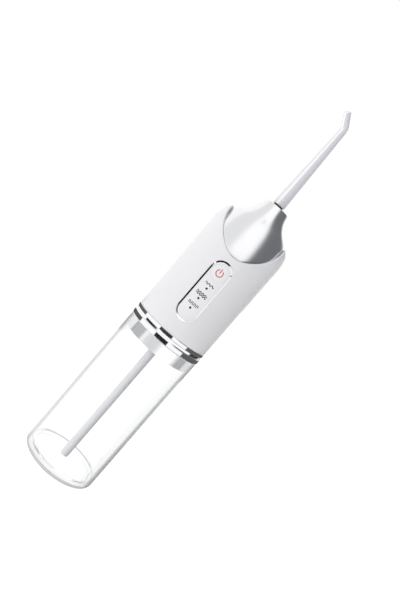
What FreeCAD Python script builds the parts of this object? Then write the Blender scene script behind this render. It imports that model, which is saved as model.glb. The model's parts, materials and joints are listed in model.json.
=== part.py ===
"""Cordless water flosser: a clear tank under a round handle that holds the battery, the motor and the pump.

Frame: millimetres, +Z up, origin at the centre of the tank's foot on the table. The control panel faces -Y.
The tank pushes on over the plug at the handle's foot and pulls off downwards. Water rises through the
suction tube and a hose to a piston pump, and leaves through a second hose, a turning collar and the nozzle.
"""
import FreeCAD, Part
import math
import os

V = FreeCAD.Vector
X_AXIS = V(1, 0, 0)
Y_AXIS = V(0, 1, 0)
Z_AXIS = V(0, 0, 1)

# ---- driving dimensions -------------------------------------------------------------------------------
BODY_R = 26.0            # handle and tank, outside
SHELL_WALL = 2.4
SHELL_BORE_R = BODY_R - SHELL_WALL
FIT = 0.1                # gap between fixed parts that meet
RUN = 0.05               # radial clearance of a running fit
SNUG = 0.02              # radial clearance of a pin or screw in its hole

# heights up the axis
TANK_RIM_Z = 105.8       # where the tank's outside meets the chrome ring
RING_TOP_Z = 113.6       # where the ring meets the white shell
CAP_LOW_Z = 171.1        # lowest point of the saddle-shaped edge between shell and cap
NECK_TOP_Z = 211.9       # flat top of the cap
# the saddle edge as arcs outwards from its low point, each with its radius and the slope at its end
SADDLE_ARCS = ((13.5, 28.8), (30.6, 59.0), (18.2, 90.0))
NECK_R = 8.7
NECK_HOLE_R = 3.45       # the collar shows through it
SHOULDER_Z = 181.0       # where the shell's ears start to curve in
EAR_TOP_R, EAR_TOP_Z = 18.4, 197.0
BEND_Z = 274.1           # corner of the nozzle's bent tip

# tank
TANK_R = 25.9
TANK_BORE_R = 24.1
TANK_FLOOR = 2.2
FOOT_RECESS_R = 22.0
FOOT_RECESS = 1.2
SPIGOT_R = 25.0
SPIGOT_H = 4.6

# plug
PLUG_R = 23.9
PLUG_LOW_Z = 97.8
PLUG_TOP_Z = 118.9
PLATE = 2.5
NIPPLE_R = 1.9
WATER_R = 1.1
SEAL_GROOVE_Z = 107.7
SEAL_SECTION_R = 0.95
PLUG_WALL_IN_R = 21.9    # inside of the plug's wall where it holds the shell
PLUG_BOSS_TOP_Z = 107.0  # top of the boss that holds the suction tube
VENT_X, VENT_Y = 9.0, 11.5

# suction tube and hoses
TUBE_R = 2.85
TUBE_BORE_R = 1.9
TUBE_LOW_Z = 5.2
TUBE_TOP_Z = 105.5
HOSE_R = 2.7
HOSE_BORE_R = NIPPLE_R + RUN

# panel on the front
PANEL_MID_Z = 145.1
PANEL_HALF_W = 7.1
PANEL_HALF_H = 21.65
BEZEL_W = 1.1
PANEL_FACE_R = 25.3      # the panel's face lies 0.7 mm below the shell
BUTTON_R = 5.3
BUTTON_Z = 158.9
LIGHT_ZS = (147.3, 140.0, 132.7)
LIGHT_R = 0.7
SWITCH_TOP_Y = -20.4     # front of the switch's plunger, where the button's stem rests
PLUNGER_R = 1.6

# chassis and what it carries
DECK_Z = 119.0
DECK = 2.0
GEAR_PLATE_Z = 157.0
BATTERY_X, BATTERY_Y, BATTERY_R = -11.0, 5.4, 9.15
MOTOR_X, MOTOR_Y, MOTOR_R = 10.2, 4.8, 10.0
MOTOR_LOW_Z = 130.8
SHAFT_R = 1.0
BOARD_Y = -17.6          # front face of the main board
BOARD_THICK = 1.2
BOARD_LOW_Z, BOARD_TOP_Z = 126.0, 166.0
POST_FRONT_X, POST_FRONT_Y = 10.2, -14.2
POST_REAR_X, POST_REAR_Y = 10.1, 17.5

# gear pair and crank
MODULE = 0.5
PINION_TEETH = 10
GEAR_TEETH = 28
GEAR_X = MOTOR_X
GEAR_Y = MOTOR_Y - MODULE * (PINION_TEETH + GEAR_TEETH) / 2 - 0.06
GEAR_Z = 160.5
GEAR_H = 3.5
CRANK_R = 2.25           # half the piston's stroke
ROD_LENGTH = 13.0
ROD_Z = 166.0
ROD_H = 3.0
AXLE_R = 1.5
CRANK_PIN_R = 1.2
WRIST_PIN_R = 0.8

# pump
PUMP_Z = ROD_Z + ROD_H / 2   # height of the piston's axis
PISTON_R = 3.95
PISTON_END_X = -13.4
WRIST_X = GEAR_X - CRANK_R - ROD_LENGTH
VALVE_X, VALVE_Y = -15.8, -6.0
BALL_R = 1.5
VALVE_BORE_R = 1.75
INLET_SEAT_Z = 161.5
OUTLET_SEAT_Z = 170.5
PUMP_TOP_Z = 174.5
BLOCK_FLOOR_Z = GEAR_PLATE_Z + 2.05
VALVE_ROOM = 4.5         # height of the inlet valve's chamber

# nozzle and its seat
SEAT_Z = 196.0
SEAT_SCREW_X = 9.0
COLLAR_LOW_Z = 199.3
COLLAR_TOP_Z = 213.5
COLLAR_R = 4.9
COLLAR_BAND_R = 3.3      # the part that shows under the nozzle
STEM_R = 2.25
NOZZLE_BASE_R = 4.25
NOZZLE_BEND_R = 2.4
NOZZLE_TIP_R = 2.1
TIP_BEND_DEG = 46.0
TIP_TURN_DEG = 46.0      # how far the tip turns from -X towards the front
TIP_LENGTH = 10.8
BEND_RADIUS = 4.5
JET_BORE_R = 0.9
JET_R = 0.45

# charging port on the back
PORT_Z = 128.5
FLAP_HALF_W = 8.0
FLAP_HALF_H = 4.8
FLAP_DEPTH = 1.1
RECESS_GAP = 0.15        # gap round the cover
HINGE_R = 0.45           # round lower edge of the cover, on which it swings
HINGE_Z = PORT_Z - FLAP_HALF_H - RECESS_GAP + RUN + HINGE_R

SCREW_R = 1.0
SCREW_HEAD_R = 1.9
SCREW_HEAD_H = 1.1


# ---- shapes used all over -----------------------------------------------------------------------------
def disc(r, z0, z1, x=0.0, y=0.0):
    """Upright round bar."""
    return Part.makeCylinder(r, z1 - z0, V(x, y, z0))


def pipe(r_out, r_in, z0, z1, x=0.0, y=0.0):
    """Upright tube."""
    return disc(r_out, z0, z1, x, y).cut(disc(r_in, z0 - 1, z1 + 1, x, y))


def rod_x(r, x0, x1, y, z):
    return Part.makeCylinder(r, x1 - x0, V(x0, y, z), X_AXIS)


def rod_y(r, y0, y1, x, z):
    return Part.makeCylinder(r, y1 - y0, V(x, y0, z), Y_AXIS)


def box(x0, x1, y0, y1, z0, z1):
    return Part.makeBox(x1 - x0, y1 - y0, z1 - z0, V(x0, y0, z0))


def turned(edges):
    """Solid turned about the Z axis from a closed outline in the XZ plane."""
    face = Part.Face(Part.Wire(Part.__sortEdges__(edges)))
    return face.revolve(V(0, 0, 0), Z_AXIS, 360)


def lines(points):
    """Straight edges through (radius, height) points."""
    vectors = [V(r, 0, z) for r, z in points]
    return [Part.makeLine(a, b) for a, b in zip(vectors, vectors[1:])]


def lathe(points):
    """Solid turned from a closed polygon of (radius, height) points."""
    return turned(lines(points + points[:1]))


def curve(points, start, end):
    """Smooth edge through (x, z) points in the XZ plane that leaves and arrives in the given directions."""
    spline = Part.BSplineCurve()
    vectors = [V(x, 0, z) for x, z in points]
    spline.interpolate(Points=vectors, InitialTangent=V(*start), FinalTangent=V(*end))
    return spline.toShape()


def arc_between(a, b, centre):
    """Quarter arc in the XZ plane."""
    r = math.hypot(a[0] - centre[0], a[1] - centre[1])
    mid_x, mid_z = (a[0] + b[0]) / 2 - centre[0], (a[1] + b[1]) / 2 - centre[1]
    scale = r / math.hypot(mid_x, mid_z)
    middle = V(centre[0] + mid_x * scale, 0, centre[1] + mid_z * scale)
    return Part.Arc(V(a[0], 0, a[1]), middle, V(b[0], 0, b[1])).toShape()


def stadium(half_w, half_h, z_mid, y0, y1):
    """Bar along Y with a stadium outline, upright if half_h is the larger."""
    r = min(half_w, half_h)
    dx, dz = half_w - r, half_h - r
    if dz > 0:
        a, b = V(-r, y0, z_mid - dz), V(-r, y0, z_mid + dz)
        c, d = V(r, y0, z_mid + dz), V(r, y0, z_mid - dz)
        far, near = V(0, y0, z_mid + half_h), V(0, y0, z_mid - half_h)
    else:
        a, b = V(dx, y0, z_mid - r), V(-dx, y0, z_mid - r)
        c, d = V(-dx, y0, z_mid + r), V(dx, y0, z_mid + r)
        far, near = V(-half_w, y0, z_mid), V(half_w, y0, z_mid)
    round_ends = [Part.Arc(b, far, c).toShape(), Part.Arc(d, near, a).toShape()]
    outline = [Part.makeLine(a, b), round_ends[0], Part.makeLine(c, d), round_ends[1]]
    return Part.Face(Part.Wire(outline)).extrude(V(0, y1 - y0, 0))


def curved_plate(prism, r_out, r_in, z0, z1):
    """The part of a prism along Y that lies between two radii of the handle."""
    return prism.common(pipe(r_out, r_in, z0, z1))


def ring_seal(r_mid, section_r, z):
    """O-ring lying flat."""
    return Part.makeTorus(r_mid, section_r, V(0, 0, z))


def swept(points, radius, start=Z_AXIS, end=Z_AXIS):
    """Round bar swept along a smooth path that leaves and arrives in the given directions."""
    spline = Part.BSplineCurve()
    spline.interpolate(Points=points, InitialTangent=start, FinalTangent=end)
    path = Part.Wire(spline.toShape())
    ring = Part.Wire(Part.makeCircle(radius, points[0], start))
    return path.makePipeShell([ring], True, False)


def hose(points):
    """Rubber hose, straight and upright in its first and last stretch, with its bore open at both ends."""
    first, last = points[0], points[-1]
    outside = swept(points[1:-1], HOSE_R)
    outside = outside.fuse(disc(HOSE_R, first.z, points[1].z, first.x, first.y))
    outside = outside.fuse(disc(HOSE_R, points[-2].z, last.z, last.x, last.y))
    bore = swept(points[1:-1], HOSE_BORE_R)
    bore = bore.fuse(disc(HOSE_BORE_R, first.z, points[1].z, first.x, first.y))
    bore = bore.fuse(disc(HOSE_BORE_R, points[-2].z, last.z, last.x, last.y))
    return outside.cut(bore).removeSplitter()


def screw(x, y, seat_z, length):
    """Cross-head screw standing upright, its head resting on seat_z."""
    head = disc(SCREW_HEAD_R, seat_z, seat_z + SCREW_HEAD_H, x, y)
    rim = [e for e in head.Edges if e.BoundBox.ZMin > seat_z + SCREW_HEAD_H / 2 and len(e.Vertexes) == 1]
    head = head.makeFillet(0.3, rim)
    body = head.fuse(disc(SCREW_R, seat_z - length, seat_z + 0.2, x, y))
    top = seat_z + SCREW_HEAD_H
    slot_a = box(x - 1.1, x + 1.1, y - 0.22, y + 0.22, top - 0.6, top + 0.1)
    slot_b = box(x - 0.22, x + 0.22, y - 1.1, y + 1.1, top - 0.6, top + 0.1)
    return body.cut(slot_a).cut(slot_b).removeSplitter()


def screw_towards_back(x, seat_y, z, length):
    """The same screw lying along Y, with its head at the front."""
    upright = screw(0, 0, 0, length)
    upright.rotate(V(0, 0, 0), X_AXIS, 90)
    upright.translate(V(x, seat_y, z))
    return upright


def pilot(x, y, z0, z1):
    """Hole that a screw's shank fills."""
    return disc(SCREW_R + SNUG, z0, z1, x, y)


def involute_angle(r, base_r):
    """Involute function at radius r."""
    if r <= base_r:
        return 0.0
    pressure = math.acos(base_r / r)
    return math.tan(pressure) - pressure


def spur_gear(teeth, addendum, dedendum, z0, z1, x, y):
    """Involute spur gear with a tooth on the +X side and a little backlash."""
    pitch_r = MODULE * teeth / 2
    base_r = pitch_r * math.cos(math.radians(20))
    half_tooth = math.pi / (2 * teeth) - 0.03 / pitch_r
    at_pitch = half_tooth + involute_angle(pitch_r, base_r)
    root_r, tip_r = pitch_r - dedendum, pitch_r + addendum
    start_r = max(base_r, root_r)
    steps = 4
    flank = [(root_r, at_pitch)] if root_r < base_r else []
    for i in range(steps + 1):
        r = start_r + (tip_r - start_r) * i / steps
        flank.append((r, at_pitch - involute_angle(r, base_r)))
    points = []
    for tooth in range(teeth):
        centre = 2 * math.pi * tooth / teeth
        for r, angle in flank:
            points.append((r, centre - angle))
        for r, angle in reversed(flank):
            points.append((r, centre + angle))
    corners = [V(x + r * math.cos(a), y + r * math.sin(a), z0) for r, a in points]
    return Part.Face(Part.makePolygon(corners + corners[:1])).extrude(V(0, 0, z1 - z0))


# ---- outside of the handle ----------------------------------------------------------------------------
def cap_profile():
    """Outside of the bell-shaped cap, from the shell's radius up to the neck."""
    points = [(BODY_R, 169.0), (25.6, 178.5), (23.6, 188.3), (19.3, 196.0), (14.5, 200.5), (9.6, 208.2)]
    return curve(points + [(NECK_R, NECK_TOP_Z)], (0, 0, 1), (-0.25, 0, 1))


def bell(low_z):
    """Solid bell under the cap's outside, down to low_z."""
    core = lines([(NECK_R, NECK_TOP_Z), (0, NECK_TOP_Z), (0, low_z), (BODY_R, low_z), (BODY_R, 169.0)])
    return turned([cap_profile()] + core)


def cap_window(gap=0.0):
    """Bar along Y with the saddle outline, inside which the cap shows and the shell is cut away."""
    x, z, angle = 0.0, CAP_LOW_Z + gap, 0.0
    outline = []
    for radius, end_deg in SADDLE_ARCS:
        r, end = radius - gap, math.radians(end_deg)
        points = []
        for a in (angle, (angle + end) / 2, end):
            points.append((x + r * (math.sin(a) - math.sin(angle)), z + r * (math.cos(angle) - math.cos(a))))
        for side in (1, -1):
            start, middle, finish = [V(side * px, -40, pz) for px, pz in points]
            outline.append(Part.Arc(start, middle, finish).toShape())
        x, z, angle = points[-1][0], points[-1][1], end
    top_z = NECK_TOP_Z + 5
    corners = [V(x, -40, z), V(x, -40, top_z), V(-x, -40, top_z), V(-x, -40, z)]
    outline += [Part.makeLine(a, b) for a, b in zip(corners, corners[1:])]
    return Part.Face(Part.Wire(Part.__sortEdges__(outline))).extrude(V(0, 80, 0))


def shell_outside():
    """Solid handle with its rounded shoulders."""
    ear_top = (EAR_TOP_R, EAR_TOP_Z)
    shoulder = [(BODY_R, SHOULDER_Z), (25.35, 188.9), (23.6, 193.2), (21.3, 195.5), ear_top]
    foot_z = RING_TOP_Z + FIT / 2
    core = lines([ear_top, (0, EAR_TOP_Z), (0, foot_z), (BODY_R, foot_z), (BODY_R, SHOULDER_Z)])
    return turned([curve(shoulder, (0, 0, 1), (-1, 0, 0.35))] + core)


def body_shell():
    """White one-piece sleeve, open at the foot, with side ears that wrap the cap."""
    hollow = disc(SHELL_BORE_R, 0, 176.0)
    under_cap = bell(170.0).common(disc(SHELL_BORE_R, 170, 200))
    shell = shell_outside().cut(hollow).cut(under_cap).cut(cap_window())
    shell = shell.cut(stadium(PANEL_HALF_W + SNUG, PANEL_HALF_H + SNUG, PANEL_MID_Z, -30, -15))
    shell = shell.cut(stadium(5.3, 2.3, PORT_Z, 15, 30))
    recess = curved_plate(flap_prism(RECESS_GAP), BODY_R + 1, BODY_R - FLAP_DEPTH, PORT_Z - 10, PORT_Z + 10)
    return shell.cut(recess)


def top_cap():
    """Silver bell. It shows inside the saddle and slips under the shell's ears at the sides."""
    bore_r = SHELL_BORE_R - FIT - SNUG
    ceiling_z = 209.9
    shown = bell(166.0).common(cap_window(FIT))
    covered = bell(176.0).common(disc(bore_r, 160, 220))
    hidden_top = covered.translated(V(0, 0, -FIT - SNUG))
    lining = [(21.5, 187.0), (16.5, 195.8), (12.0, 200.5), (8.2, 205.5), (6.9, ceiling_z)]
    below = [lining[-1], (0, ceiling_z), (0, 160), (bore_r, 160), (bore_r, 176), (21.5, 177.5), lining[0]]
    hollow = turned([curve(lining, (0, 0, 1), (-0.2, 0, 1))] + lines(below))
    cap = shown.fuse(hidden_top).cut(hollow)
    seat_room = disc(6.6, 190, ceiling_z)
    for side in (-1, 1):
        cap = cap.fuse(disc(2.0, SEAT_Z + 2.0, 204.5, side * SEAT_SCREW_X).cut(seat_room))
        cap = cap.cut(pilot(side * SEAT_SCREW_X, 0, SEAT_Z, 203.0))
    cap = cap.cut(disc(NECK_HOLE_R, 205, NECK_TOP_Z + 1))
    return cap.removeSplitter()


def base_ring():
    """Chrome trim ring: a rounded lower band, a groove and two fine beads."""
    z0, z1 = TANK_RIM_Z + FIT, RING_TOP_Z
    outer = BODY_R + 0.2
    spigot_clear_r = SPIGOT_R + FIT
    inner = PLUG_R + FIT
    shelf_z = TANK_RIM_Z + SPIGOT_H + 0.3
    outline = [(spigot_clear_r, z0), (outer - 0.35, z0), (outer, z0 + 0.4), (outer, z0 + 3.0)]
    outline += [(outer - 0.3, z0 + 3.4), (outer - 0.8, z0 + 3.9), (outer - 0.8, z0 + 5.0)]
    outline += [(outer - 0.1, z0 + 5.3), (outer - 0.1, z0 + 6.1), (outer - 0.5, z0 + 6.35)]
    outline += [(outer - 0.3, z0 + 6.6), (outer - 0.3, z1), (inner, z1), (inner, shelf_z)]
    outline += [(spigot_clear_r, shelf_z)]
    return lathe(outline)


def tank_plug():
    """Silver plug that the tank pushes onto, with the seal's groove, the tube's socket and three posts."""
    upper_r = SHELL_BORE_R - FIT
    groove_r = PLUG_R - 1.75
    groove_low, groove_top = SEAL_GROOVE_Z - 1.1, SEAL_GROOVE_Z + 1.1
    outline = [(0, PLUG_LOW_Z), (PLUG_R - 0.5, PLUG_LOW_Z), (PLUG_R, PLUG_LOW_Z + 0.5), (PLUG_R, groove_low)]
    outline += [(groove_r, groove_low), (groove_r, groove_top), (PLUG_R, groove_top)]
    outline += [(PLUG_R, RING_TOP_Z - FIT), (upper_r, RING_TOP_Z - FIT), (upper_r, PLUG_TOP_Z)]
    outline += [(PLUG_WALL_IN_R, PLUG_TOP_Z), (PLUG_WALL_IN_R, 111.0), (20.6, 109.8)]
    outline += [(20.6, PLUG_LOW_Z + PLATE), (0, PLUG_LOW_Z + PLATE)]
    plug = lathe(outline)
    plug = plug.fuse(disc(5.0, PLUG_LOW_Z + 1, PLUG_BOSS_TOP_Z))
    plug = plug.fuse(disc(NIPPLE_R, PLUG_BOSS_TOP_Z - 1, 113.0))
    for x, y in deck_screw_places():
        plug = plug.fuse(disc(2.6, PLUG_LOW_Z + 1, PLUG_TOP_Z, x, y))
        plug = plug.cut(pilot(x, y, 110.0, PLUG_TOP_Z + 1))
    plug = plug.cut(disc(TUBE_R + SNUG, PLUG_LOW_Z - 1, TUBE_TOP_Z + FIT))
    plug = plug.cut(disc(WATER_R, TUBE_TOP_Z - 0.5, 114))
    plug = plug.cut(disc(4.0, PLUG_LOW_Z - 1, PLUG_LOW_Z + 0.9, VENT_X, VENT_Y))
    plug = plug.cut(disc(1.15, PLUG_LOW_Z, PLUG_LOW_Z + PLATE + 1, VENT_X, VENT_Y))
    for dx, dy in ((2.3, 0), (-2.3, 0), (0, 2.3), (0, -2.3)):
        plug = plug.cut(disc(0.5, PLUG_LOW_Z, PLUG_LOW_Z + PLATE + 1, VENT_X + dx, VENT_Y + dy))
    return plug.removeSplitter()


def deck_screw_places():
    return ((16.5, -9.0), (-16.5, -9.0), (0.0, 12.0))


def plug_seal():
    return ring_seal(TANK_BORE_R - SNUG - SEAL_SECTION_R, SEAL_SECTION_R, SEAL_GROOVE_Z)


def vent_valve():
    """Rubber umbrella valve that lets air into the tank as the water leaves."""
    low = PLUG_LOW_Z + 0.15
    umbrella = disc(3.5, low, low + 0.7, VENT_X, VENT_Y)
    stem = disc(1.1, low + 0.5, PLUG_LOW_Z + PLATE + 0.05, VENT_X, VENT_Y)
    bulb = Part.makeCone(1.7, 0.9, 1.2, V(VENT_X, VENT_Y, PLUG_LOW_Z + PLATE + 0.05))
    return umbrella.fuse(stem).fuse(bulb).removeSplitter()


def suction_tube():
    return pipe(TUBE_R, TUBE_BORE_R, TUBE_LOW_Z, TUBE_TOP_Z)


def water_tank():
    """Clear cup with a recessed foot and a thinner spigot that hides inside the chrome ring."""
    floor_top = FOOT_RECESS + TANK_FLOOR
    top = TANK_RIM_Z + SPIGOT_H
    foot, corner, bevel = 1.6, 3.0, 0.3
    recess = [(0, FOOT_RECESS), (FOOT_RECESS_R - 0.6, FOOT_RECESS), (FOOT_RECESS_R, FOOT_RECESS - 0.6)]
    recess += [(FOOT_RECESS_R, 0), (TANK_R - foot, 0)]
    wall = [(TANK_R, foot), (TANK_R, TANK_RIM_Z - 0.2), (TANK_R - 0.2, TANK_RIM_Z), (SPIGOT_R, TANK_RIM_Z)]
    wall += [(SPIGOT_R, top - bevel), (SPIGOT_R - bevel, top), (TANK_BORE_R + bevel, top)]
    wall += [(TANK_BORE_R, top - bevel), (TANK_BORE_R, floor_top + corner)]
    inner_end = (TANK_BORE_R - corner, floor_top)
    foot_arc = arc_between((TANK_R - foot, 0), (TANK_R, foot), (TANK_R - foot, foot))
    floor_arc = arc_between(wall[-1], inner_end, (TANK_BORE_R - corner, floor_top + corner))
    edges = lines(recess) + [foot_arc] + lines(wall) + [floor_arc]
    return turned(edges + lines([inner_end, (0, floor_top), (0, FOOT_RECESS)]))


# ---- control panel ------------------------------------------------------------------------------------
def panel_bezel():
    outer = stadium(PANEL_HALF_W, PANEL_HALF_H, PANEL_MID_Z, -30, -15)
    inner = stadium(PANEL_HALF_W - BEZEL_W, PANEL_HALF_H - BEZEL_W, PANEL_MID_Z, -31, -14)
    return curved_plate(outer.cut(inner), BODY_R + 0.03, SHELL_BORE_R + 0.05, 110, 180)


def control_panel():
    """Curved face plate with a hidden flange behind the shell, and holes for the button and the lights."""
    inset = BEZEL_W + 0.03
    face = stadium(PANEL_HALF_W - inset, PANEL_HALF_H - inset, PANEL_MID_Z, -30, -15)
    flange = stadium(PANEL_HALF_W + 1.1, PANEL_HALF_H + 1.1, PANEL_MID_Z, -30, -15)
    panel = curved_plate(face, PANEL_FACE_R, SHELL_BORE_R - 0.5, 110, 180)
    panel = panel.fuse(curved_plate(flange, SHELL_BORE_R - FIT / 2, 22.2, 110, 180))
    panel = panel.cut(rod_y(BUTTON_R + RUN, -30, -15, 0, BUTTON_Z))
    for z in LIGHT_ZS:
        panel = panel.cut(rod_y(LIGHT_R + SNUG, -30, -15, 0, z))
    return panel.removeSplitter()


def power_button():
    """Round button with a retaining lip and a short stem that rests on the switch."""
    face = curved_plate(rod_y(BUTTON_R, -30, -15, 0, BUTTON_Z), PANEL_FACE_R + 0.05, 21.5, 150, 170)
    lip = curved_plate(rod_y(5.9, -30, -15, 0, BUTTON_Z), 22.1, 20.9, 150, 170)
    stem = rod_y(1.5, -22.0, SWITCH_TOP_Y - SNUG, 0, BUTTON_Z)
    return face.fuse(lip).fuse(stem).removeSplitter()


def switch_plunger():
    return rod_y(PLUNGER_R, SWITCH_TOP_Y, -18.6, 0, BUTTON_Z)


def board_switch():
    body = box(-3, 3, -19.6, BOARD_Y, BUTTON_Z - 3, BUTTON_Z + 3)
    return body.cut(rod_y(PLUNGER_R + RUN, -21, -17.9, 0, BUTTON_Z))


def mode_lights():
    """Three smoked light guides from the board's lamps to the panel's face."""
    guides = []
    for z in LIGHT_ZS:
        guides.append(curved_plate(rod_y(LIGHT_R, -30, -15, 0, z), PANEL_FACE_R + 0.03, 18.55, z - 2, z + 2))
    return Part.makeCompound(guides)


def main_board():
    board = box(-12, 12, BOARD_Y, BOARD_Y + BOARD_THICK, BOARD_LOW_Z, BOARD_TOP_Z)
    for x, z in board_screw_places():
        board = board.cut(rod_y(SCREW_R + SNUG, BOARD_Y - 1, BOARD_Y + 2, x, z))
    return board


def board_screw_places():
    return [(x, z) for x in (-POST_FRONT_X, POST_FRONT_X) for z in (129.5, 145.0)]


def board_screws():
    return Part.makeCompound([screw_towards_back(x, BOARD_Y - 0.02, z, 3.6) for x, z in board_screw_places()])


def control_chip():
    body = box(-9.5, -4.5, BOARD_Y - 1.0, BOARD_Y - 0.12, 134.5, 139.5)
    for i in range(4):
        z = 135.1 + 1.27 * i
        body = body.fuse(box(-10.3, -3.7, BOARD_Y - 0.35, BOARD_Y, z, z + 0.4))
    return body.removeSplitter()


def status_leds():
    return Part.makeCompound([box(-0.8, 0.8, BOARD_Y - 0.8, BOARD_Y, z - 0.8, z + 0.8) for z in LIGHT_ZS])


# ---- chassis ------------------------------------------------------------------------------------------
def chassis():
    """Moulded frame: a round deck, four posts that carry the gear plate and a cradle for the battery."""
    deck_top = DECK_Z + DECK
    post_top = GEAR_PLATE_Z - SNUG
    frame = disc(SHELL_BORE_R - 0.3, DECK_Z, deck_top)
    frame = frame.fuse(pipe(10.4, 9.4, DECK_Z + 1, deck_top + 4, BATTERY_X, BATTERY_Y))
    for side in (-1, 1):
        x = side * POST_FRONT_X
        frame = frame.fuse(box(x - 2, x + 2, -16.35, -12.4, DECK_Z + 1, post_top))
        frame = frame.fuse(disc(2.2, DECK_Z + 1, post_top, side * POST_REAR_X, POST_REAR_Y))
        frame = frame.cut(pilot(x, POST_FRONT_Y, post_top - 8, post_top + 1))
        frame = frame.cut(pilot(side * POST_REAR_X, POST_REAR_Y, post_top - 8, post_top + 1))
    frame = frame.cut(disc(9.4, deck_top, deck_top + 40, BATTERY_X, BATTERY_Y))
    notch_front, notch_back = BATTERY_Y - 12, BATTERY_Y - 8
    frame = frame.cut(box(BATTERY_X - 2.5, BATTERY_X + 2.5, notch_front, notch_back, deck_top, deck_top + 5))
    frame = frame.cut(disc(3.5, DECK_Z - 1, deck_top + 6))
    frame = frame.cut(disc(4.0, DECK_Z - 1, deck_top + 6, -0.9, -2.2))
    for x, y in deck_screw_places():
        frame = frame.cut(pilot(x, y, DECK_Z - 1, deck_top + 1))
        frame = frame.cut(disc(SCREW_HEAD_R + 0.3, deck_top, deck_top + 6, x, y))
    for x, z in board_screw_places():
        frame = frame.cut(rod_y(SCREW_R + SNUG, -17, -13.5, x, z))
    return frame.removeSplitter()


def deck_screws():
    return Part.makeCompound([screw(x, y, DECK_Z + DECK + SNUG, 9.0) for x, y in deck_screw_places()])


def gear_plate():
    """Deck that carries the motor below and the gear and pump above."""
    z0, z1 = GEAR_PLATE_Z, GEAR_PLATE_Z + 2.0
    plate = disc(21.3, z0, z1)
    plate = plate.cut(box(-22, 22, -25, -16.35, z0 - 1, z1 + 1))
    plate = plate.cut(disc(3.3, z0 - 1, z1 + 1, MOTOR_X, MOTOR_Y))
    plate = plate.cut(disc(3.2, z0 - 1, z1 + 1, VALVE_X, VALVE_Y))
    plate = plate.cut(disc(AXLE_R + SNUG, z0 - 1, z1 + 1, GEAR_X, GEAR_Y))
    for x, y in plate_screw_places() + motor_screw_places() + pump_foot_places():
        plate = plate.cut(pilot(x, y, z0 - 1, z1 + 1))
    return plate


def plate_screw_places():
    front = [(-POST_FRONT_X, POST_FRONT_Y), (POST_FRONT_X, POST_FRONT_Y)]
    return front + [(-POST_REAR_X, POST_REAR_Y), (POST_REAR_X, POST_REAR_Y)]


def motor_screw_places():
    return [(MOTOR_X - 6.5, MOTOR_Y), (MOTOR_X + 6.5, MOTOR_Y)]


def pump_foot_places():
    return [(-7.5, 3.6), (-15.5, 3.6)]


def plate_screws():
    return Part.makeCompound([screw(x, y, GEAR_PLATE_Z + 2.0 + SNUG, 8.0) for x, y in plate_screw_places()])


# ---- battery, motor, wires ----------------------------------------------------------------------------
def battery_cell():
    low, high = DECK_Z + DECK + 0.3, GEAR_PLATE_Z - 0.4
    cell = disc(BATTERY_R, low, high - 0.8, BATTERY_X, BATTERY_Y)
    return cell.fuse(disc(BATTERY_R - 1.2, low, high - 0.4, BATTERY_X, BATTERY_Y)).removeSplitter()


def battery_tabs():
    """Nickel strips on the cell's two ends."""
    low, high = DECK_Z + DECK + 0.3, GEAR_PLATE_Z - 0.8
    bottom = box(BATTERY_X - 2, BATTERY_X + 2, BATTERY_Y - 10.6, BATTERY_Y + 3, low - 0.25, low - 0.05)
    top = box(BATTERY_X - 2, BATTERY_X + 2, BATTERY_Y - 10.6, BATTERY_Y + 3, high + 0.05, high + 0.25)
    return Part.makeCompound([bottom, top])


def motor_can():
    """Steel can, closed at the top, with two flats as small motors have."""
    top = GEAR_PLATE_Z - 0.05
    can = disc(MOTOR_R, MOTOR_LOW_Z + 2.5, top, MOTOR_X, MOTOR_Y)
    can = can.cut(disc(MOTOR_R - 0.8, MOTOR_LOW_Z, top - 1.0, MOTOR_X, MOTOR_Y))
    can = can.fuse(disc(3.0, top - 0.5, top + 1.4, MOTOR_X, MOTOR_Y))
    can = can.cut(disc(SHAFT_R + RUN, top - 3, top + 3, MOTOR_X, MOTOR_Y))
    for x, y in motor_screw_places():
        can = can.cut(pilot(x, y, top - 3, top + 3))
    return can.removeSplitter()


def motor_endcap():
    cap = disc(MOTOR_R, MOTOR_LOW_Z, MOTOR_LOW_Z + 2.45, MOTOR_X, MOTOR_Y)
    cap = cap.cut(disc(SHAFT_R + RUN, MOTOR_LOW_Z + 0.8, MOTOR_LOW_Z + 3, MOTOR_X, MOTOR_Y))
    return cap


def motor_magnets():
    """Two curved magnets inside the can."""
    ring = pipe(MOTOR_R - 0.85, MOTOR_R - 2.6, MOTOR_LOW_Z + 5, GEAR_PLATE_Z - 5, MOTOR_X, MOTOR_Y)
    gap = box(MOTOR_X - 3, MOTOR_X + 3, MOTOR_Y - 12, MOTOR_Y + 12, MOTOR_LOW_Z, GEAR_PLATE_Z)
    return ring.cut(gap)


def motor_rotor():
    """Shaft with its slotted armature and commutator."""
    shaft = disc(SHAFT_R, MOTOR_LOW_Z + 0.9, GEAR_Z + GEAR_H + 1.4, MOTOR_X, MOTOR_Y)
    core = disc(6.9, MOTOR_LOW_Z + 6, GEAR_PLATE_Z - 6, MOTOR_X, MOTOR_Y)
    for i in range(5):
        slot = box(3.2, 8, -0.7, 0.7, MOTOR_LOW_Z, GEAR_PLATE_Z)
        slot.rotate(V(0, 0, 0), Z_AXIS, 72 * i)
        slot.translate(V(MOTOR_X, MOTOR_Y, 0))
        core = core.cut(slot)
    commutator = disc(2.6, MOTOR_LOW_Z + 2.9, MOTOR_LOW_Z + 6.2, MOTOR_X, MOTOR_Y)
    return shaft.fuse(core).fuse(commutator).removeSplitter()


def pinion():
    low, high = GEAR_Z - 0.3, GEAR_Z + GEAR_H + 0.6
    gear = spur_gear(PINION_TEETH, 0.8 * MODULE, 1.3 * MODULE, low, high, MOTOR_X, MOTOR_Y)
    return gear.cut(disc(SHAFT_R + 0.01, low - 1, high + 1, MOTOR_X, MOTOR_Y))


def motor_screws():
    return Part.makeCompound([screw(x, y, GEAR_PLATE_Z + 2.0 + SNUG, 3.0) for x, y in motor_screw_places()])


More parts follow.
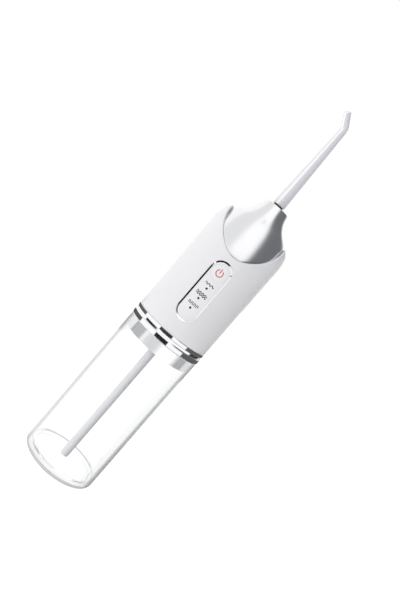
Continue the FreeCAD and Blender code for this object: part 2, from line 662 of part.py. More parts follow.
def wires(paths):
    return Part.makeCompound([swept(path, 0.55, start, end) for path, start, end in paths])


def battery_wires():
    back = BOARD_Y + BOARD_THICK
    front = V(0, -1, 0)
    high = [V(BATTERY_X, BATTERY_Y - 9.7, 155.67), V(-8, -10, 153.2), V(-5, back + 0.03, 152)]
    low = [V(BATTERY_X, BATTERY_Y - 9.7, 121.83), V(-8, -11, 124.5), V(-5, back + 0.03, 128)]
    return wires([(high, front, front), (low, front, front)])


def motor_wires():
    back = BOARD_Y + BOARD_THICK
    front = V(0, -1, 0)
    left = [V(7, 2.5, 130.22), V(5.5, -8, 128.2), V(4.5, back + 0.03, 130)]
    right = [V(12.5, 2.5, 130.22), V(9, -6, 126.5), V(7.2, back + 0.03, 128)]
    return wires([(left, front, front), (right, front, front)])


# ---- gear, crank and pump -----------------------------------------------------------------------------
def gear_axle():
    return disc(AXLE_R, GEAR_PLATE_Z + 0.1, GEAR_Z + GEAR_H - 0.2, GEAR_X, GEAR_Y)


def crank_gear():
    """Big gear with the boss that drives the crank pin."""
    gear = spur_gear(GEAR_TEETH, 0.6 * MODULE, 1.3 * MODULE, GEAR_Z, GEAR_Z + GEAR_H, GEAR_X, GEAR_Y)
    gear = gear.fuse(disc(2.8, GEAR_Z - 0.9, GEAR_Z + 0.5, GEAR_X, GEAR_Y))
    gear = gear.fuse(disc(1.9, GEAR_Z + GEAR_H - 0.5, GEAR_Z + GEAR_H + 0.6, GEAR_X - CRANK_R, GEAR_Y))
    return gear.cut(disc(AXLE_R + RUN, GEAR_Z - 2, GEAR_Z + GEAR_H - 0.1, GEAR_X, GEAR_Y))


def crank_pin():
    """Shouldered pin held in the rod's big eye. Its foot stops just above the gear's boss."""
    x = GEAR_X - CRANK_R
    foot = GEAR_Z + GEAR_H + 0.75
    pin = disc(CRANK_PIN_R, foot, ROD_Z + ROD_H + 0.9, x, GEAR_Y)
    pin = pin.fuse(disc(1.8, foot, ROD_Z - 0.05, x, GEAR_Y))
    return pin.fuse(disc(1.9, ROD_Z + ROD_H + 0.05, ROD_Z + ROD_H + 0.9, x, GEAR_Y)).removeSplitter()


def connecting_rod():
    x0, x1 = WRIST_X, GEAR_X - CRANK_R
    rod = disc(1.9, ROD_Z, ROD_Z + ROD_H, x0, GEAR_Y).fuse(disc(2.4, ROD_Z, ROD_Z + ROD_H, x1, GEAR_Y))
    rod = rod.fuse(box(x0, x1, GEAR_Y - 1.2, GEAR_Y + 1.2, ROD_Z, ROD_Z + ROD_H))
    rod = rod.cut(disc(WRIST_PIN_R + RUN, ROD_Z - 1, ROD_Z + ROD_H + 1, x0, GEAR_Y))
    return rod.cut(disc(CRANK_PIN_R + SNUG, ROD_Z - 1, ROD_Z + ROD_H + 1, x1, GEAR_Y)).removeSplitter()


def wrist_pin():
    return disc(WRIST_PIN_R, PUMP_Z - 3.4, PUMP_Z + 3.4, WRIST_X, GEAR_Y)


def piston():
    """Piston with a slot for the rod, a cross hole for the wrist pin and a groove for its seal."""
    body = rod_x(PISTON_R, PISTON_END_X, WRIST_X + 2.2, GEAR_Y, PUMP_Z)
    slot = box(WRIST_X - 2.4, WRIST_X + 3, GEAR_Y - 5, GEAR_Y + 5, ROD_Z - 0.1, ROD_Z + ROD_H + 0.1)
    body = body.cut(slot).cut(disc(WRIST_PIN_R + SNUG, PUMP_Z - 6, PUMP_Z + 6, WRIST_X, GEAR_Y))
    x0 = PISTON_END_X + 1.2
    groove = rod_x(PISTON_R + 1, x0, x0 + 1.6, GEAR_Y, PUMP_Z)
    return body.cut(groove.cut(rod_x(PISTON_R - 1.1, x0, x0 + 1.6, GEAR_Y, PUMP_Z)))


def piston_seal():
    x0 = PISTON_END_X + 1.3
    seal = rod_x(PISTON_R + RUN - 0.01, x0, x0 + 1.4, GEAR_Y, PUMP_Z)
    return seal.cut(rod_x(PISTON_R - 1.08, x0 - 1, x0 + 3, GEAR_Y, PUMP_Z))


def pump_block():
    """Moulded block with the cylinder, the two valve chambers and the inlet nipple."""
    floor = BLOCK_FLOOR_Z
    block = box(-19.2, -4.5, GEAR_Y - 6, GEAR_Y + 6.2, floor, PUMP_TOP_Z)
    block = block.makeFillet(1.5, [e for e in block.Edges if abs(e.tangentAt(e.FirstParameter).z) > 0.9])
    for x, y in pump_foot_places():
        block = block.fuse(disc(2.4, floor, floor + 2.8, x, y))
        block = block.fuse(box(x - 2.4, x + 2.4, 0.5, y, floor, floor + 2.8))
    block = block.fuse(disc(NIPPLE_R, 152.5, floor + 1, VALVE_X, VALVE_Y))
    block = block.cut(rod_x(PISTON_R + RUN, -13.6, 0, GEAR_Y, PUMP_Z))
    for x, y in pump_foot_places():
        block = block.cut(pilot(x, y, floor - 1, floor + 4))
        block = block.cut(disc(SCREW_HEAD_R + 0.3, floor + 2.8, PUMP_TOP_Z + 1, x, y))
    block = block.cut(disc(WATER_R, 150, PUMP_TOP_Z, VALVE_X, VALVE_Y))
    block = block.cut(disc(VALVE_BORE_R, INLET_SEAT_Z, INLET_SEAT_Z + VALVE_ROOM, VALVE_X, VALVE_Y))
    block = block.cut(disc(VALVE_BORE_R, OUTLET_SEAT_Z, PUMP_TOP_Z + 1, VALVE_X, VALVE_Y))
    block = block.cut(rod_x(0.9, VALVE_X, -13, VALVE_Y, 168.2))
    for x, y in pump_cap_screw_places():
        block = block.cut(pilot(x, y, PUMP_TOP_Z - 2.5, PUMP_TOP_Z + 1))
    return block.removeSplitter()


def pump_cap_screw_places():
    return [(VALVE_X + 3.45, VALVE_Y + 3.45), (VALVE_X + 3.45, VALVE_Y - 3.45)]


def pump_cap():
    """Cover over the outlet valve, with the outlet nipple."""
    low = PUMP_TOP_Z + 0.05
    cap = disc(3.6, low, low + 2.6, VALVE_X, VALVE_Y)
    for x, y in pump_cap_screw_places():
        cap = cap.fuse(disc(2.2, low, low + 2.6, x, y))
    cap = cap.fuse(disc(NIPPLE_R, low + 2, 181.6, VALVE_X, VALVE_Y))
    cap = cap.cut(disc(WATER_R, low - 1, 183, VALVE_X, VALVE_Y))
    for x, y in pump_cap_screw_places():
        cap = cap.cut(pilot(x, y, low - 1, low + 4))
    return cap.removeSplitter()


def pump_screws():
    feet = [screw(x, y, BLOCK_FLOOR_Z + 2.8 + SNUG, 4.6) for x, y in pump_foot_places()]
    lid = [screw(x, y, PUMP_TOP_Z + 2.67, 5.0) for x, y in pump_cap_screw_places()]
    return Part.makeCompound(feet + lid)


def valve_ball(seat_z):
    """Ball resting on the rim of its seat."""
    rise = math.sqrt(BALL_R ** 2 - WATER_R ** 2)
    return Part.makeSphere(BALL_R, V(VALVE_X, VALVE_Y, seat_z + rise + 0.01))


def valve_spring(seat_z, top_z):
    """Coil spring between the ball and the chamber's end, its wire made of short straight lengths."""
    wire_r, coil_r, turns, steps, sides = 0.15, 1.3, 2.5, 18, 8
    low = seat_z + math.sqrt(BALL_R ** 2 - WATER_R ** 2) + BALL_R - 0.35 + wire_r
    high = top_z - wire_r - RUN
    stations = []
    for i in range(int(turns * steps) + 1):
        turn = 2 * math.pi * i / steps
        z = low + (high - low) * i / (turns * steps)
        ring = []
        for k in range(sides):
            a = 2 * math.pi * k / sides
            r = coil_r + wire_r * math.cos(a)
            x, y = VALVE_X + r * math.cos(turn), VALVE_Y + r * math.sin(turn)
            ring.append(V(x, y, z + wire_r * math.sin(a)))
        stations.append(ring)
    faces = []
    for ring in (stations[0], stations[-1]):
        faces.append(Part.Face(Part.makePolygon(ring + ring[:1])))
    for ring, following in zip(stations, stations[1:]):
        for k in range(sides):
            a, b = ring[k], ring[(k + 1) % sides]
            c, d = following[(k + 1) % sides], following[k]
            faces.append(Part.Face(Part.makePolygon([a, b, c, a])))
            faces.append(Part.Face(Part.makePolygon([a, c, d, a])))
    return Part.Solid(Part.Shell(faces))


def suction_hose():
    path = [V(0, 0, 107.2), V(0, 0, 114), V(-1.2, -3.2, 126), V(-5.4, -7.8, 136), V(-13.4, -8.4, 145)]
    return hose(path + [V(VALVE_X, VALVE_Y, 151.5), V(VALVE_X, VALVE_Y, 158.6)])


def outlet_hose():
    start = V(VALVE_X, VALVE_Y, 177.3)
    return hose([start, V(VALVE_X, VALVE_Y, 181.7), V(-7.9, -3.0, 186.7), V(0, 0, 191.6), V(0, 0, 195.6)])


# ---- nozzle and its seat ------------------------------------------------------------------------------
def nozzle_seat():
    """Fixed socket under the cap's neck, with a flange for two screws and a nipple for the hose."""
    seat = disc(6.5, SEAT_Z, 209.8).fuse(disc(NIPPLE_R, 191.7, SEAT_Z + 1))
    ears = disc(11.3, SEAT_Z, SEAT_Z + 1.95).common(box(-12, 12, -3, 3, SEAT_Z - 1, SEAT_Z + 3))
    seat = seat.fuse(ears).cut(disc(COLLAR_R + FIT, 199.0, 211)).cut(disc(WATER_R, 189, 200))
    for side in (-1, 1):
        seat = seat.cut(pilot(side * SEAT_SCREW_X, 0, SEAT_Z - 1, SEAT_Z + 3))
    return seat.removeSplitter()


def seat_screws():
    """Two screws that hold the seat up against the cap, heads down."""
    pair = []
    for side in (-1, 1):
        upright = screw(0, 0, 0, 6.0)
        upright.rotate(V(0, 0, 0), X_AXIS, 180)
        upright.translate(V(side * SEAT_SCREW_X, 0, SEAT_Z - SNUG))
        pair.append(upright)
    return Part.makeCompound(pair)


def nozzle_collar():
    """Black collar that turns in the seat and shows as a thin band under the nozzle."""
    collar = disc(COLLAR_R, COLLAR_LOW_Z, 209.6).fuse(disc(COLLAR_BAND_R, 209, COLLAR_TOP_Z))
    collar = collar.cut(disc(STEM_R + FIT, 201.0, COLLAR_TOP_Z + 1)).cut(disc(WATER_R, 199, 202))
    groove = pipe(COLLAR_R + 1, COLLAR_R - 1.15, 203.4, 204.7)
    return collar.cut(groove).removeSplitter()


def collar_seal():
    return ring_seal(COLLAR_R + FIT - 0.02 - 0.55, 0.55, 204.05)


def tip_direction():
    """Sideways direction in which the tip leans."""
    turn = math.radians(TIP_TURN_DEG)
    return V(-math.cos(turn), -math.sin(turn), 0)


def nozzle():
    """Tapered tube with a bent tip, and the stem that plugs into the collar."""
    lean = tip_direction()
    bend = math.radians(TIP_BEND_DEG)
    tangent = BEND_RADIUS * math.tan(bend / 2)
    base_z = COLLAR_TOP_Z + 0.1
    bend_start = V(0, 0, BEND_Z - tangent)
    centre = bend_start + lean * BEND_RADIUS
    direction = lean * math.sin(bend) + Z_AXIS * math.cos(bend)
    corner = V(0, 0, BEND_Z)
    bend_end = corner + direction * tangent
    mid_dir = Z_AXIS * math.sin(bend / 2) - lean * math.cos(bend / 2)
    bend_middle = centre + mid_dir * BEND_RADIUS
    path = Part.Wire(Part.Arc(bend_start, bend_middle, bend_end).toShape())

    def bent(radius):
        return path.makePipeShell([Part.Wire(Part.makeCircle(radius, bend_start, Z_AXIS))], True, True)

    straight = Part.makeCone(NOZZLE_BASE_R, NOZZLE_BEND_R, bend_start.z - base_z, V(0, 0, base_z))
    tip_len = TIP_LENGTH - tangent
    tip = Part.makeCone(NOZZLE_BEND_R, NOZZLE_TIP_R, tip_len, bend_end, direction)
    end_ring = [e for e in tip.Edges if len(e.Vertexes) == 1 and abs(e.Curve.Radius - NOZZLE_TIP_R) < 1e-6]
    tip = tip.makeFillet(0.6, end_ring)
    stem = disc(STEM_R, 201.3, base_z + 1)
    body = straight.fuse(bent(NOZZLE_BEND_R)).fuse(tip).fuse(stem)
    bore = disc(JET_BORE_R, 201, bend_start.z).fuse(bent(JET_BORE_R))
    bore = bore.fuse(Part.makeCone(JET_BORE_R, JET_R, tip_len + 0.01, bend_end, direction))
    body = body.cut(bore)
    groove = pipe(STEM_R + 1, STEM_R - 0.72, 205.6, 206.6)
    return body.cut(groove).removeSplitter()


def nozzle_seal():
    return ring_seal(STEM_R + FIT - 0.02 - 0.38, 0.38, 206.1)


# ---- charging port ------------------------------------------------------------------------------------
def flap_prism(grow=0.0):
    """Rounded rectangle along Y, as wide as the port's cover."""
    half_w, half_h = FLAP_HALF_W + grow, FLAP_HALF_H + grow
    block = box(-half_w, half_w, 20, 30, PORT_Z - half_h, PORT_Z + half_h)
    return block.makeFillet(2.2, [e for e in block.Edges if abs(e.tangentAt(e.FirstParameter).y) > 0.9])


def port_cover():
    """Rubber flap flush with the shell, with a plug that fills the port, a grip rib and a hinge bead."""
    flap = curved_plate(flap_prism(-0.1), BODY_R, BODY_R - FLAP_DEPTH + 0.08, HINGE_Z, PORT_Z + 10)
    plug = stadium(4.6, 1.5, PORT_Z - 0.2, 23.7, 25.3)
    rib = rod_x(0.45, -3.0, 3.0, BODY_R - 0.25, PORT_Z + 3.3)
    hinge = rod_x(HINGE_R, -2.5, 2.5, BODY_R - HINGE_R, HINGE_Z)
    return flap.fuse(plug).fuse(rib).fuse(hinge).removeSplitter()


def charge_socket():
    """Metal socket with a contact tongue, on its own small board."""
    outer = stadium(4.5, 1.6, PORT_Z, 18.25, 23.4)
    inner = stadium(4.2, 1.3, PORT_Z, 19.2, 24.0)
    tongue = box(-3.3, 3.3, 18.8, 22.6, PORT_Z - 0.35, PORT_Z + 0.35)
    return outer.cut(inner).fuse(tongue).removeSplitter()


def charge_board():
    return box(-6.8, 6.8, 17.2, 18.2, DECK_Z + DECK + 0.05, 134.5)


# ---- write every part ---------------------------------------------------------------------------------
PARTS = {
    "body_shell": body_shell,
    "top_cap": top_cap,
    "base_ring": base_ring,
    "tank_plug": tank_plug,
    "plug_seal": plug_seal,
    "vent_valve": vent_valve,
    "suction_tube": suction_tube,
    "water_tank": water_tank,
    "panel_bezel": panel_bezel,
    "control_panel": control_panel,
    "power_button": power_button,
    "switch_plunger": switch_plunger,
    "board_switch": board_switch,
    "mode_lights": mode_lights,
    "main_board": main_board,
    "board_screws": board_screws,
    "control_chip": control_chip,
    "status_leds": status_leds,
    "chassis": chassis,
    "deck_screws": deck_screws,
    "gear_plate": gear_plate,
    "plate_screws": plate_screws,
    "battery_cell": battery_cell,
    "battery_tabs": battery_tabs,
    "battery_wires": battery_wires,
    "motor_can": motor_can,
    "motor_endcap": motor_endcap,
    "motor_magnets": motor_magnets,
    "motor_rotor": motor_rotor,
    "motor_wires": motor_wires,
    "motor_screws": motor_screws,
    "pinion": pinion,
    "crank_gear": crank_gear,
    "gear_axle": gear_axle,
    "crank_pin": crank_pin,
    "connecting_rod": connecting_rod,
    "wrist_pin": wrist_pin,
    "piston": piston,
    "piston_seal": piston_seal,
    "pump_block": pump_block,
    "pump_cap": pump_cap,
    "pump_screws": pump_screws,
    "inlet_ball": lambda: valve_ball(INLET_SEAT_Z),
    "outlet_ball": lambda: valve_ball(OUTLET_SEAT_Z),
    "inlet_spring": lambda: valve_spring(INLET_SEAT_Z, INLET_SEAT_Z + VALVE_ROOM),
    "outlet_spring": lambda: valve_spring(OUTLET_SEAT_Z, PUMP_TOP_Z),
    "suction_hose": suction_hose,
    "outlet_hose": outlet_hose,
    "nozzle_seat": nozzle_seat,
    "seat_screws": seat_screws,
    "nozzle_collar": nozzle_collar,
    "collar_seal": collar_seal,
    "nozzle": nozzle,
    "nozzle_seal": nozzle_seal,
    "port_cover": port_cover,
    "charge_socket": charge_socket,
    "charge_board": charge_board,
}

os.makedirs("parts", exist_ok=True)
for name, make in PARTS.items():
    shape = make()
    solids = len(shape.Solids)
    if not shape.isValid() or solids == 0:
        print("CHECK", name, "valid:", shape.isValid(), "solids:", solids)
    shape.exportStep("parts/" + name + ".step")
    print(name, "solids", solids, "volume", round(shape.Volume, 1))
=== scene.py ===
"""Cordless water flosser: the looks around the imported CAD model.

CAD frame: origin at the centre of the tank's foot, +Z up, control panel facing -Y.
Sizes are written in millimetres, and MM turns them into metres.
"""
import bpy
import bmesh
import json
import math
import numpy as np
from mathutils import Matrix, Vector


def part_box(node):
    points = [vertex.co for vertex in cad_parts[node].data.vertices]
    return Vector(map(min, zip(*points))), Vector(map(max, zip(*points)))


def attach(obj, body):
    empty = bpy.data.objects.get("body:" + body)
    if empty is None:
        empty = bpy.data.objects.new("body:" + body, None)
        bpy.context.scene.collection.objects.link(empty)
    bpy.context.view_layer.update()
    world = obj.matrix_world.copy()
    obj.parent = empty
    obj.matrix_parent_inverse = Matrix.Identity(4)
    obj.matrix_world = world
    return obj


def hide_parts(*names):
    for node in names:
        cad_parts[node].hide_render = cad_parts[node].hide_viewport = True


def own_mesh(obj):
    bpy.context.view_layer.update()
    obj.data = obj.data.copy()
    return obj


MM = 0.001
TURN = 2 * math.pi
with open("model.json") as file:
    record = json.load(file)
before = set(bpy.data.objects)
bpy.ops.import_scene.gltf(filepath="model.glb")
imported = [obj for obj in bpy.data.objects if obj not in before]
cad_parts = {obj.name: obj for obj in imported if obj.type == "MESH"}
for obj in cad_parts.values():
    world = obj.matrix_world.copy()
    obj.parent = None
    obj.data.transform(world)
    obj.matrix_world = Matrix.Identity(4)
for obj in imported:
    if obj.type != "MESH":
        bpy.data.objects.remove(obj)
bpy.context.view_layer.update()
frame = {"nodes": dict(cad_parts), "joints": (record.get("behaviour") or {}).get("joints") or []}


# ---- sizes taken from the frame -----------------------------------------------------------------------
def span(node, axis):
    """Lowest and highest value of a CAD node along an axis, in millimetres."""
    low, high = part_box(node)
    return low[axis] / MM, high[axis] / MM


SHELL_LOW = span("body_shell", 2)[0]
SHELL_R = span("body_shell", 0)[1]
CAP_LOW = span("top_cap", 2)[0]
RING_LOW, RING_TOP = span("base_ring", 2)
RING_R = span("base_ring", 0)[1]
TANK_LOW, TANK_TOP = span("water_tank", 2)
TANK_R = span("water_tank", 0)[1]
PANEL_LOW, PANEL_HIGH = span("panel_bezel", 2)
PANEL_HALF_W = span("panel_bezel", 0)[1]
PANEL_MID = (PANEL_LOW + PANEL_HIGH) / 2
PANEL_HALF_H = (PANEL_HIGH - PANEL_LOW) / 2
PANEL_FACE_R = -span("control_panel", 1)[0]
BUTTON_MID = sum(span("power_button", 2)) / 2
TUBE_R = span("suction_tube", 0)[1]
TUBE_LOW, TUBE_TOP = span("suction_tube", 2)
LIGHTS_LOW, LIGHTS_HIGH = span("mode_lights", 2)

# ---- shapes that the CAD also states ------------------------------------------------------------------
SHELL_WALL = 2.4
# the saddle edge, from its low point outwards: the radius of each arc and the slope in degrees at its end
SADDLE_ARCS = ((13.5, 28.8), (30.6, 59.0), (18.2, 90.0))
SADDLE_LOW = CAP_LOW - 0.1
BELL = [(26.0, 169.0), (25.6, 178.5), (23.6, 188.3), (19.3, 196.0), (14.5, 200.5), (9.6, 208.2), (8.7, 211.9)]
SHOULDER = [(26.0, 181.0), (25.35, 188.9), (23.6, 193.2), (21.3, 195.5), (18.4, 197.0)]
SEAM_GAP = 0.05
BEZEL_W = 1.1
TANK_WALL = 1.8
TANK_RIM = 105.8
SPIGOT_R = 25.0
NOZZLE_BASE = 213.6

# ---- how finely things are drawn ----------------------------------------------------------------------
SHARP_DEG = 32
SHELL_COLUMNS = 288
STRAIGHT_STEPS, BEND_STEPS, TIP_STEPS = 40, 12, 12


# ---- outlines and curves ------------------------------------------------------------------------------
def arc_lengths(p):
    """Distance along a line of points up to each of them."""
    return np.concatenate([[0], np.cumsum(np.linalg.norm(np.diff(p, axis=0), axis=1))])


def smooth_curve(points, count, start, end):
    """count points on a cubic curve through points, leaving and arriving in the given directions."""
    p = np.array(points, float)
    t = arc_lengths(p)
    n = len(p)
    slopes = np.zeros((n, p.shape[1]))
    system = np.zeros((n, n))
    system[0, 0] = system[-1, -1] = 1
    slopes[0] = np.array(start, float) / np.linalg.norm(start)
    slopes[-1] = np.array(end, float) / np.linalg.norm(end)
    for i in range(1, n - 1):
        a, b = t[i] - t[i - 1], t[i + 1] - t[i]
        system[i, i - 1:i + 2] = 1 / a, 2 / a + 2 / b, 1 / b
        slopes[i] = 3 * ((p[i] - p[i - 1]) / a ** 2 + (p[i + 1] - p[i]) / b ** 2)
    slopes = np.linalg.solve(system, slopes)
    out = []
    for s in np.linspace(0, t[-1], count):
        i = min(np.searchsorted(t, s, side="right") - 1, n - 2)
        h = t[i + 1] - t[i]
        u = (s - t[i]) / h
        out.append((2 * u ** 3 - 3 * u ** 2 + 1) * p[i] + (u ** 3 - 2 * u ** 2 + u) * h * slopes[i]
                   + (3 * u ** 2 - 2 * u ** 3) * p[i + 1] + (u ** 3 - u ** 2) * h * slopes[i + 1])
    return [tuple(float(x) for x in q) for q in out]


def resample(path, count, power=1.0):
    """count points evenly along a path; power below 1 crowds them towards its end."""
    p = np.array(path, float)
    t = arc_lengths(p)
    shares = np.linspace(0, 1, count) ** power * t[-1]
    return [tuple(float(np.interp(s, t, p[:, k])) for k in range(p.shape[1])) for s in shares]


def fillet(before, corner, after, radius, steps):
    """Points of a round that replaces a corner, in two or three dimensions."""
    a, c, b = (np.array(v, float) for v in (before, corner, after))
    u, v = a - c, b - c
    lu, lv = np.linalg.norm(u), np.linalg.norm(v)
    u, v = u / lu, v / lv
    half = math.acos(max(-1.0, min(1.0, float(u @ v)))) / 2
    if half > math.radians(88):   # so nearly straight that there is no corner
        return [tuple(c)] * (steps + 1)
    reach = min(radius / math.tan(half), 0.49 * lu, 0.49 * lv)
    r = reach * math.tan(half)
    bisector = (u + v) / np.linalg.norm(u + v)
    centre = c + bisector * (r / math.sin(half))
    p, q = c + u * reach - centre, c + v * reach - centre
    sweep = math.pi - 2 * half
    out = []
    for i in range(steps + 1):
        a, b = (1 - i / steps) * sweep, i / steps * sweep
        out.append(tuple(centre + (math.sin(a) * p + math.sin(b) * q) / math.sin(sweep)))
    return out


def rounded(points, steps):
    """Closed outline of (r, z) points, in which a corner given as (r, z, radius) is rounded."""
    out = []
    for i, point in enumerate(points):
        if len(point) == 2:
            out.append(point)
            continue
        before, after = points[i - 1][:2], points[(i + 1) % len(points)][:2]
        out += fillet(before, point[:2], after, point[2], steps)
    return out


def braced(points, closed, margin=0.06):
    """The same line with extra points just inside both ends of long stretches, so that flats shade flat."""
    out = []
    for p, q in zip(points, points[1:] + (points[:1] if closed else [])):
        p, q = np.array(p), np.array(q)
        length = np.linalg.norm(q - p)
        out.append(tuple(p))
        if length > 4 * margin:
            out += [tuple(p + (q - p) * margin / length), tuple(q - (q - p) * margin / length)]
    return out if closed else out + [points[-1]]


def at_azimuth(points, azimuth):
    """(r, z) points stood up in space on one azimuth."""
    c, s = math.cos(azimuth), math.sin(azimuth)
    return [(r * c, r * s, z) for r, z in points]


def on_front(x, z, r):
    """Point of the front of a cylinder of radius r."""
    return (x, -math.sqrt(r * r - x * x), z)


def arc_points(cx, cz, r, start_deg, end_deg, count):
    """Points (x, z) of an arc."""
    angles = np.radians(np.linspace(start_deg, end_deg, count))
    return [(cx + r * math.cos(a), cz + r * math.sin(a)) for a in angles]


def stadium_points(half_w, half_h, mid_z, steps=24):
    """Upright stadium outline of (x, z) points, anticlockwise from the right end of its upper round."""
    dz = half_h - half_w
    return (arc_points(0, mid_z + dz, half_w, 0, 180, steps + 1)
            + arc_points(0, mid_z - dz, half_w, 180, 360, steps + 1))


# ---- skins: points in millimetres and faces -----------------------------------------------------------
def loop_grid(columns):
    """Closed skin over columns that are closed loops of equal length, the last column joining the first."""
    verts = [p for column in columns for p in column]
    n, m = len(columns), len(columns[0])
    faces = []
    for i in range(n):
        for j in range(m):
            a, b, k = i * m, ((i + 1) % n) * m, (j + 1) % m
            faces.append((a + j, b + j, b + k, a + k))
    return verts, faces


def capped_rod(rings):
    """Closed skin over a row of rings of equal length, with a flat face at both ends."""
    verts = [p for ring in rings for p in ring]
    m, total = len(rings[0]), len(verts)
    faces = []
    for a in range(0, total - m, m):
        faces += [(a + k, a + m + k, a + m + (k + 1) % m, a + (k + 1) % m) for k in range(m)]
    return verts, faces + [tuple(range(m)), tuple(range(total - 1, total - m - 1, -1))]


def lathe(outline, segments):
    """Skin turned about the Z axis from (r, z) points: closed on itself, or with poles on the axis."""
    poles = outline[0][0] < 1e-6
    outline = braced(outline, not poles)
    side = outline[1:-1] if poles else outline
    columns = [at_azimuth(side, TURN * i / segments) for i in range(segments)]
    if not poles:
        return loop_grid(columns)
    verts = [(0, 0, outline[0][1]), (0, 0, outline[-1][1])] + [p for column in columns for p in column]
    m = len(side)
    faces = []
    for i in range(segments):
        a, b = 2 + i * m, 2 + ((i + 1) % segments) * m
        faces += [(0, b, a), (1, a + m - 1, b + m - 1)]
        faces += [(a + j, b + j, b + j + 1, a + j + 1) for j in range(m - 1)]
    return verts, faces


def prism(outline, y0, y1):
    """Closed bar along Y over an outline of (x, z) points."""
    return capped_rod([[(x, y, z) for x, z in outline] for y in (y0, y1)])


def joined(skins):
    """Several skins as one."""
    verts, faces = [], []
    for part_verts, part_faces in skins:
        faces += [tuple(i + len(verts) for i in face) for face in part_faces]
        verts += part_verts
    return verts, faces


# ---- pieces -------------------------------------------------------------------------------------------
def shade(piece):
    """Smooth shading with edges kept where faces meet at an angle."""
    piece.data.shade_smooth()
    piece.data.set_sharp_from_angle(angle=math.radians(SHARP_DEG))


def add_object(name, skin):
    """Object from a skin, with its faces turned outwards."""
    verts, faces = skin
    mesh = bpy.data.meshes.new(name)
    mesh.from_pydata([Vector(v) * MM for v in verts], [], faces)
    mesh.validate()
    bm = bmesh.new()
    bm.from_mesh(mesh)
    bmesh.ops.recalc_face_normals(bm, faces=bm.faces)
    bm.to_mesh(mesh)
    bm.free()
    added = bpy.data.objects.new(name, mesh)
    bpy.context.scene.collection.objects.link(added)
    return added


def make_piece(name, skin, body, node, material, stands_in=True):
    """Visible piece that rides on a body. Where it stands in for a CAD node, it hides that node."""
    piece = add_object(name, skin)
    piece.data.materials.append(MATERIALS[material])
    shade(piece)
    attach(piece, body)
    if stands_in:
        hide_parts(node)
    return piece


def cut_away(piece, skin):
    """Cuts a closed skin out of a piece."""
    cutter = add_object("cutter", skin)
    modifier = piece.modifiers.new("cut", "BOOLEAN")
    modifier.object = cutter
    modifier.operation = "DIFFERENCE"
    modifier.solver = "EXACT"
    depsgraph = bpy.context.evaluated_depsgraph_get()
    result = bpy.data.meshes.new_from_object(piece.evaluated_get(depsgraph))
    piece.modifiers.clear()
    piece.data = result
    bpy.data.objects.remove(cutter)
    shade(piece)


# ---- node helpers -------------------------------------------------------------------------------------
class Wire:
    """A node socket that can be added, multiplied and so on in plain Python."""

    def __init__(self, tree, socket):
        self.tree, self.socket = tree, socket

    def _math(self, operation, *others):
        node = self.tree.nodes.new("ShaderNodeMath")
        node.operation = operation
        for slot, value in zip(node.inputs, (self,) + others):
            if isinstance(value, Wire):
                self.tree.links.new(value.socket, slot)
            else:
                slot.default_value = value
        return Wire(self.tree, node.outputs[0])

    def __add__(self, other):
        return self._math("ADD", other)

    def __sub__(self, other):
        return self._math("SUBTRACT", other)

    def __mul__(self, other):
        return self._math("MULTIPLY", other)

    def __truediv__(self, other):
        return self._math("DIVIDE", other)

    def above(self, low, high):
        """0 below low, 1 above high, smooth between. With low above high it falls instead."""
        node = self.tree.nodes.new("ShaderNodeMapRange")
        node.interpolation_type = "SMOOTHSTEP"
        falls = low > high
        self.tree.links.new(self.socket, node.inputs["Value"])
        set_inputs(node, From_Min=min(low, high), From_Max=max(low, high),
                   To_Min=1.0 if falls else 0.0, To_Max=0.0 if falls else 1.0)
        return Wire(self.tree, node.outputs["Result"])

    def inside(self, low, high, soft):
        """1 between low and high, falling to 0 over soft on either side."""
        return self.above(low - soft, low + soft) * self.above(high + soft, high - soft)

    def swap(self, new, share):
        """This value, replaced by new where share is 1."""
        node = self.tree.nodes.new("ShaderNodeMix")
        node.data_type = "FLOAT"
        self.tree.links.new(share.socket, node.inputs["Factor"])
        self.tree.links.new(self.socket, node.inputs["A"])
        if isinstance(new, Wire):
            self.tree.links.new(new.socket, node.inputs["B"])
        else:
            node.inputs["B"].default_value = new
        return Wire(self.tree, node.outputs["Result"])


def set_inputs(node, **values):
    """Sets a node's inputs by name, with underscores for the spaces."""
    for name, value in values.items():
        node.inputs[name.replace("_", " ")].default_value = value


def constant(tree, value):
    """A plain value as a Wire."""
    node = tree.nodes.new("ShaderNodeValue")
    node.outputs[0].default_value = value
    return Wire(tree, node.outputs[0])


def noise(tree, size_mm, detail=2.0, stretch=(1, 1, 1)):
    """Noise in the object's own space with features of about size_mm."""
    coords = tree.nodes.new("ShaderNodeTexCoord")
    mapping = tree.nodes.new("ShaderNodeMapping")
    node = tree.nodes.new("ShaderNodeTexNoise")
    set_inputs(mapping, Scale=stretch)
    set_inputs(node, Scale=1 / (size_mm * MM), Detail=detail)
    tree.links.new(coords.outputs["Object"], mapping.inputs["Vector"])
    tree.links.new(mapping.outputs["Vector"], node.inputs["Vector"])
    return Wire(tree, node.outputs["Fac"])


def tint(tree, share, low, high):
    """Colour between low and high by share."""
    node = tree.nodes.new("ShaderNodeMix")
    node.data_type = "RGBA"
    tree.links.new(share.socket, node.inputs["Factor"])
    set_inputs(node, A=(*low, 1), B=(*high, 1))
    return node.outputs["Result"]


def vector_math(tree, operation, a, b=None):
    """Result of a vector operation on sockets or plain vectors. A dot product comes as a Wire."""
    node = tree.nodes.new("ShaderNodeVectorMath")
    node.operation = operation
    for slot, value in zip(node.inputs, (a, b)):
        if isinstance(value, tuple):
            slot.default_value = value
        elif value is not None:
            tree.links.new(value, slot)
    return Wire(tree, node.outputs["Value"]) if operation == "DOT_PRODUCT" else node.outputs["Vector"]


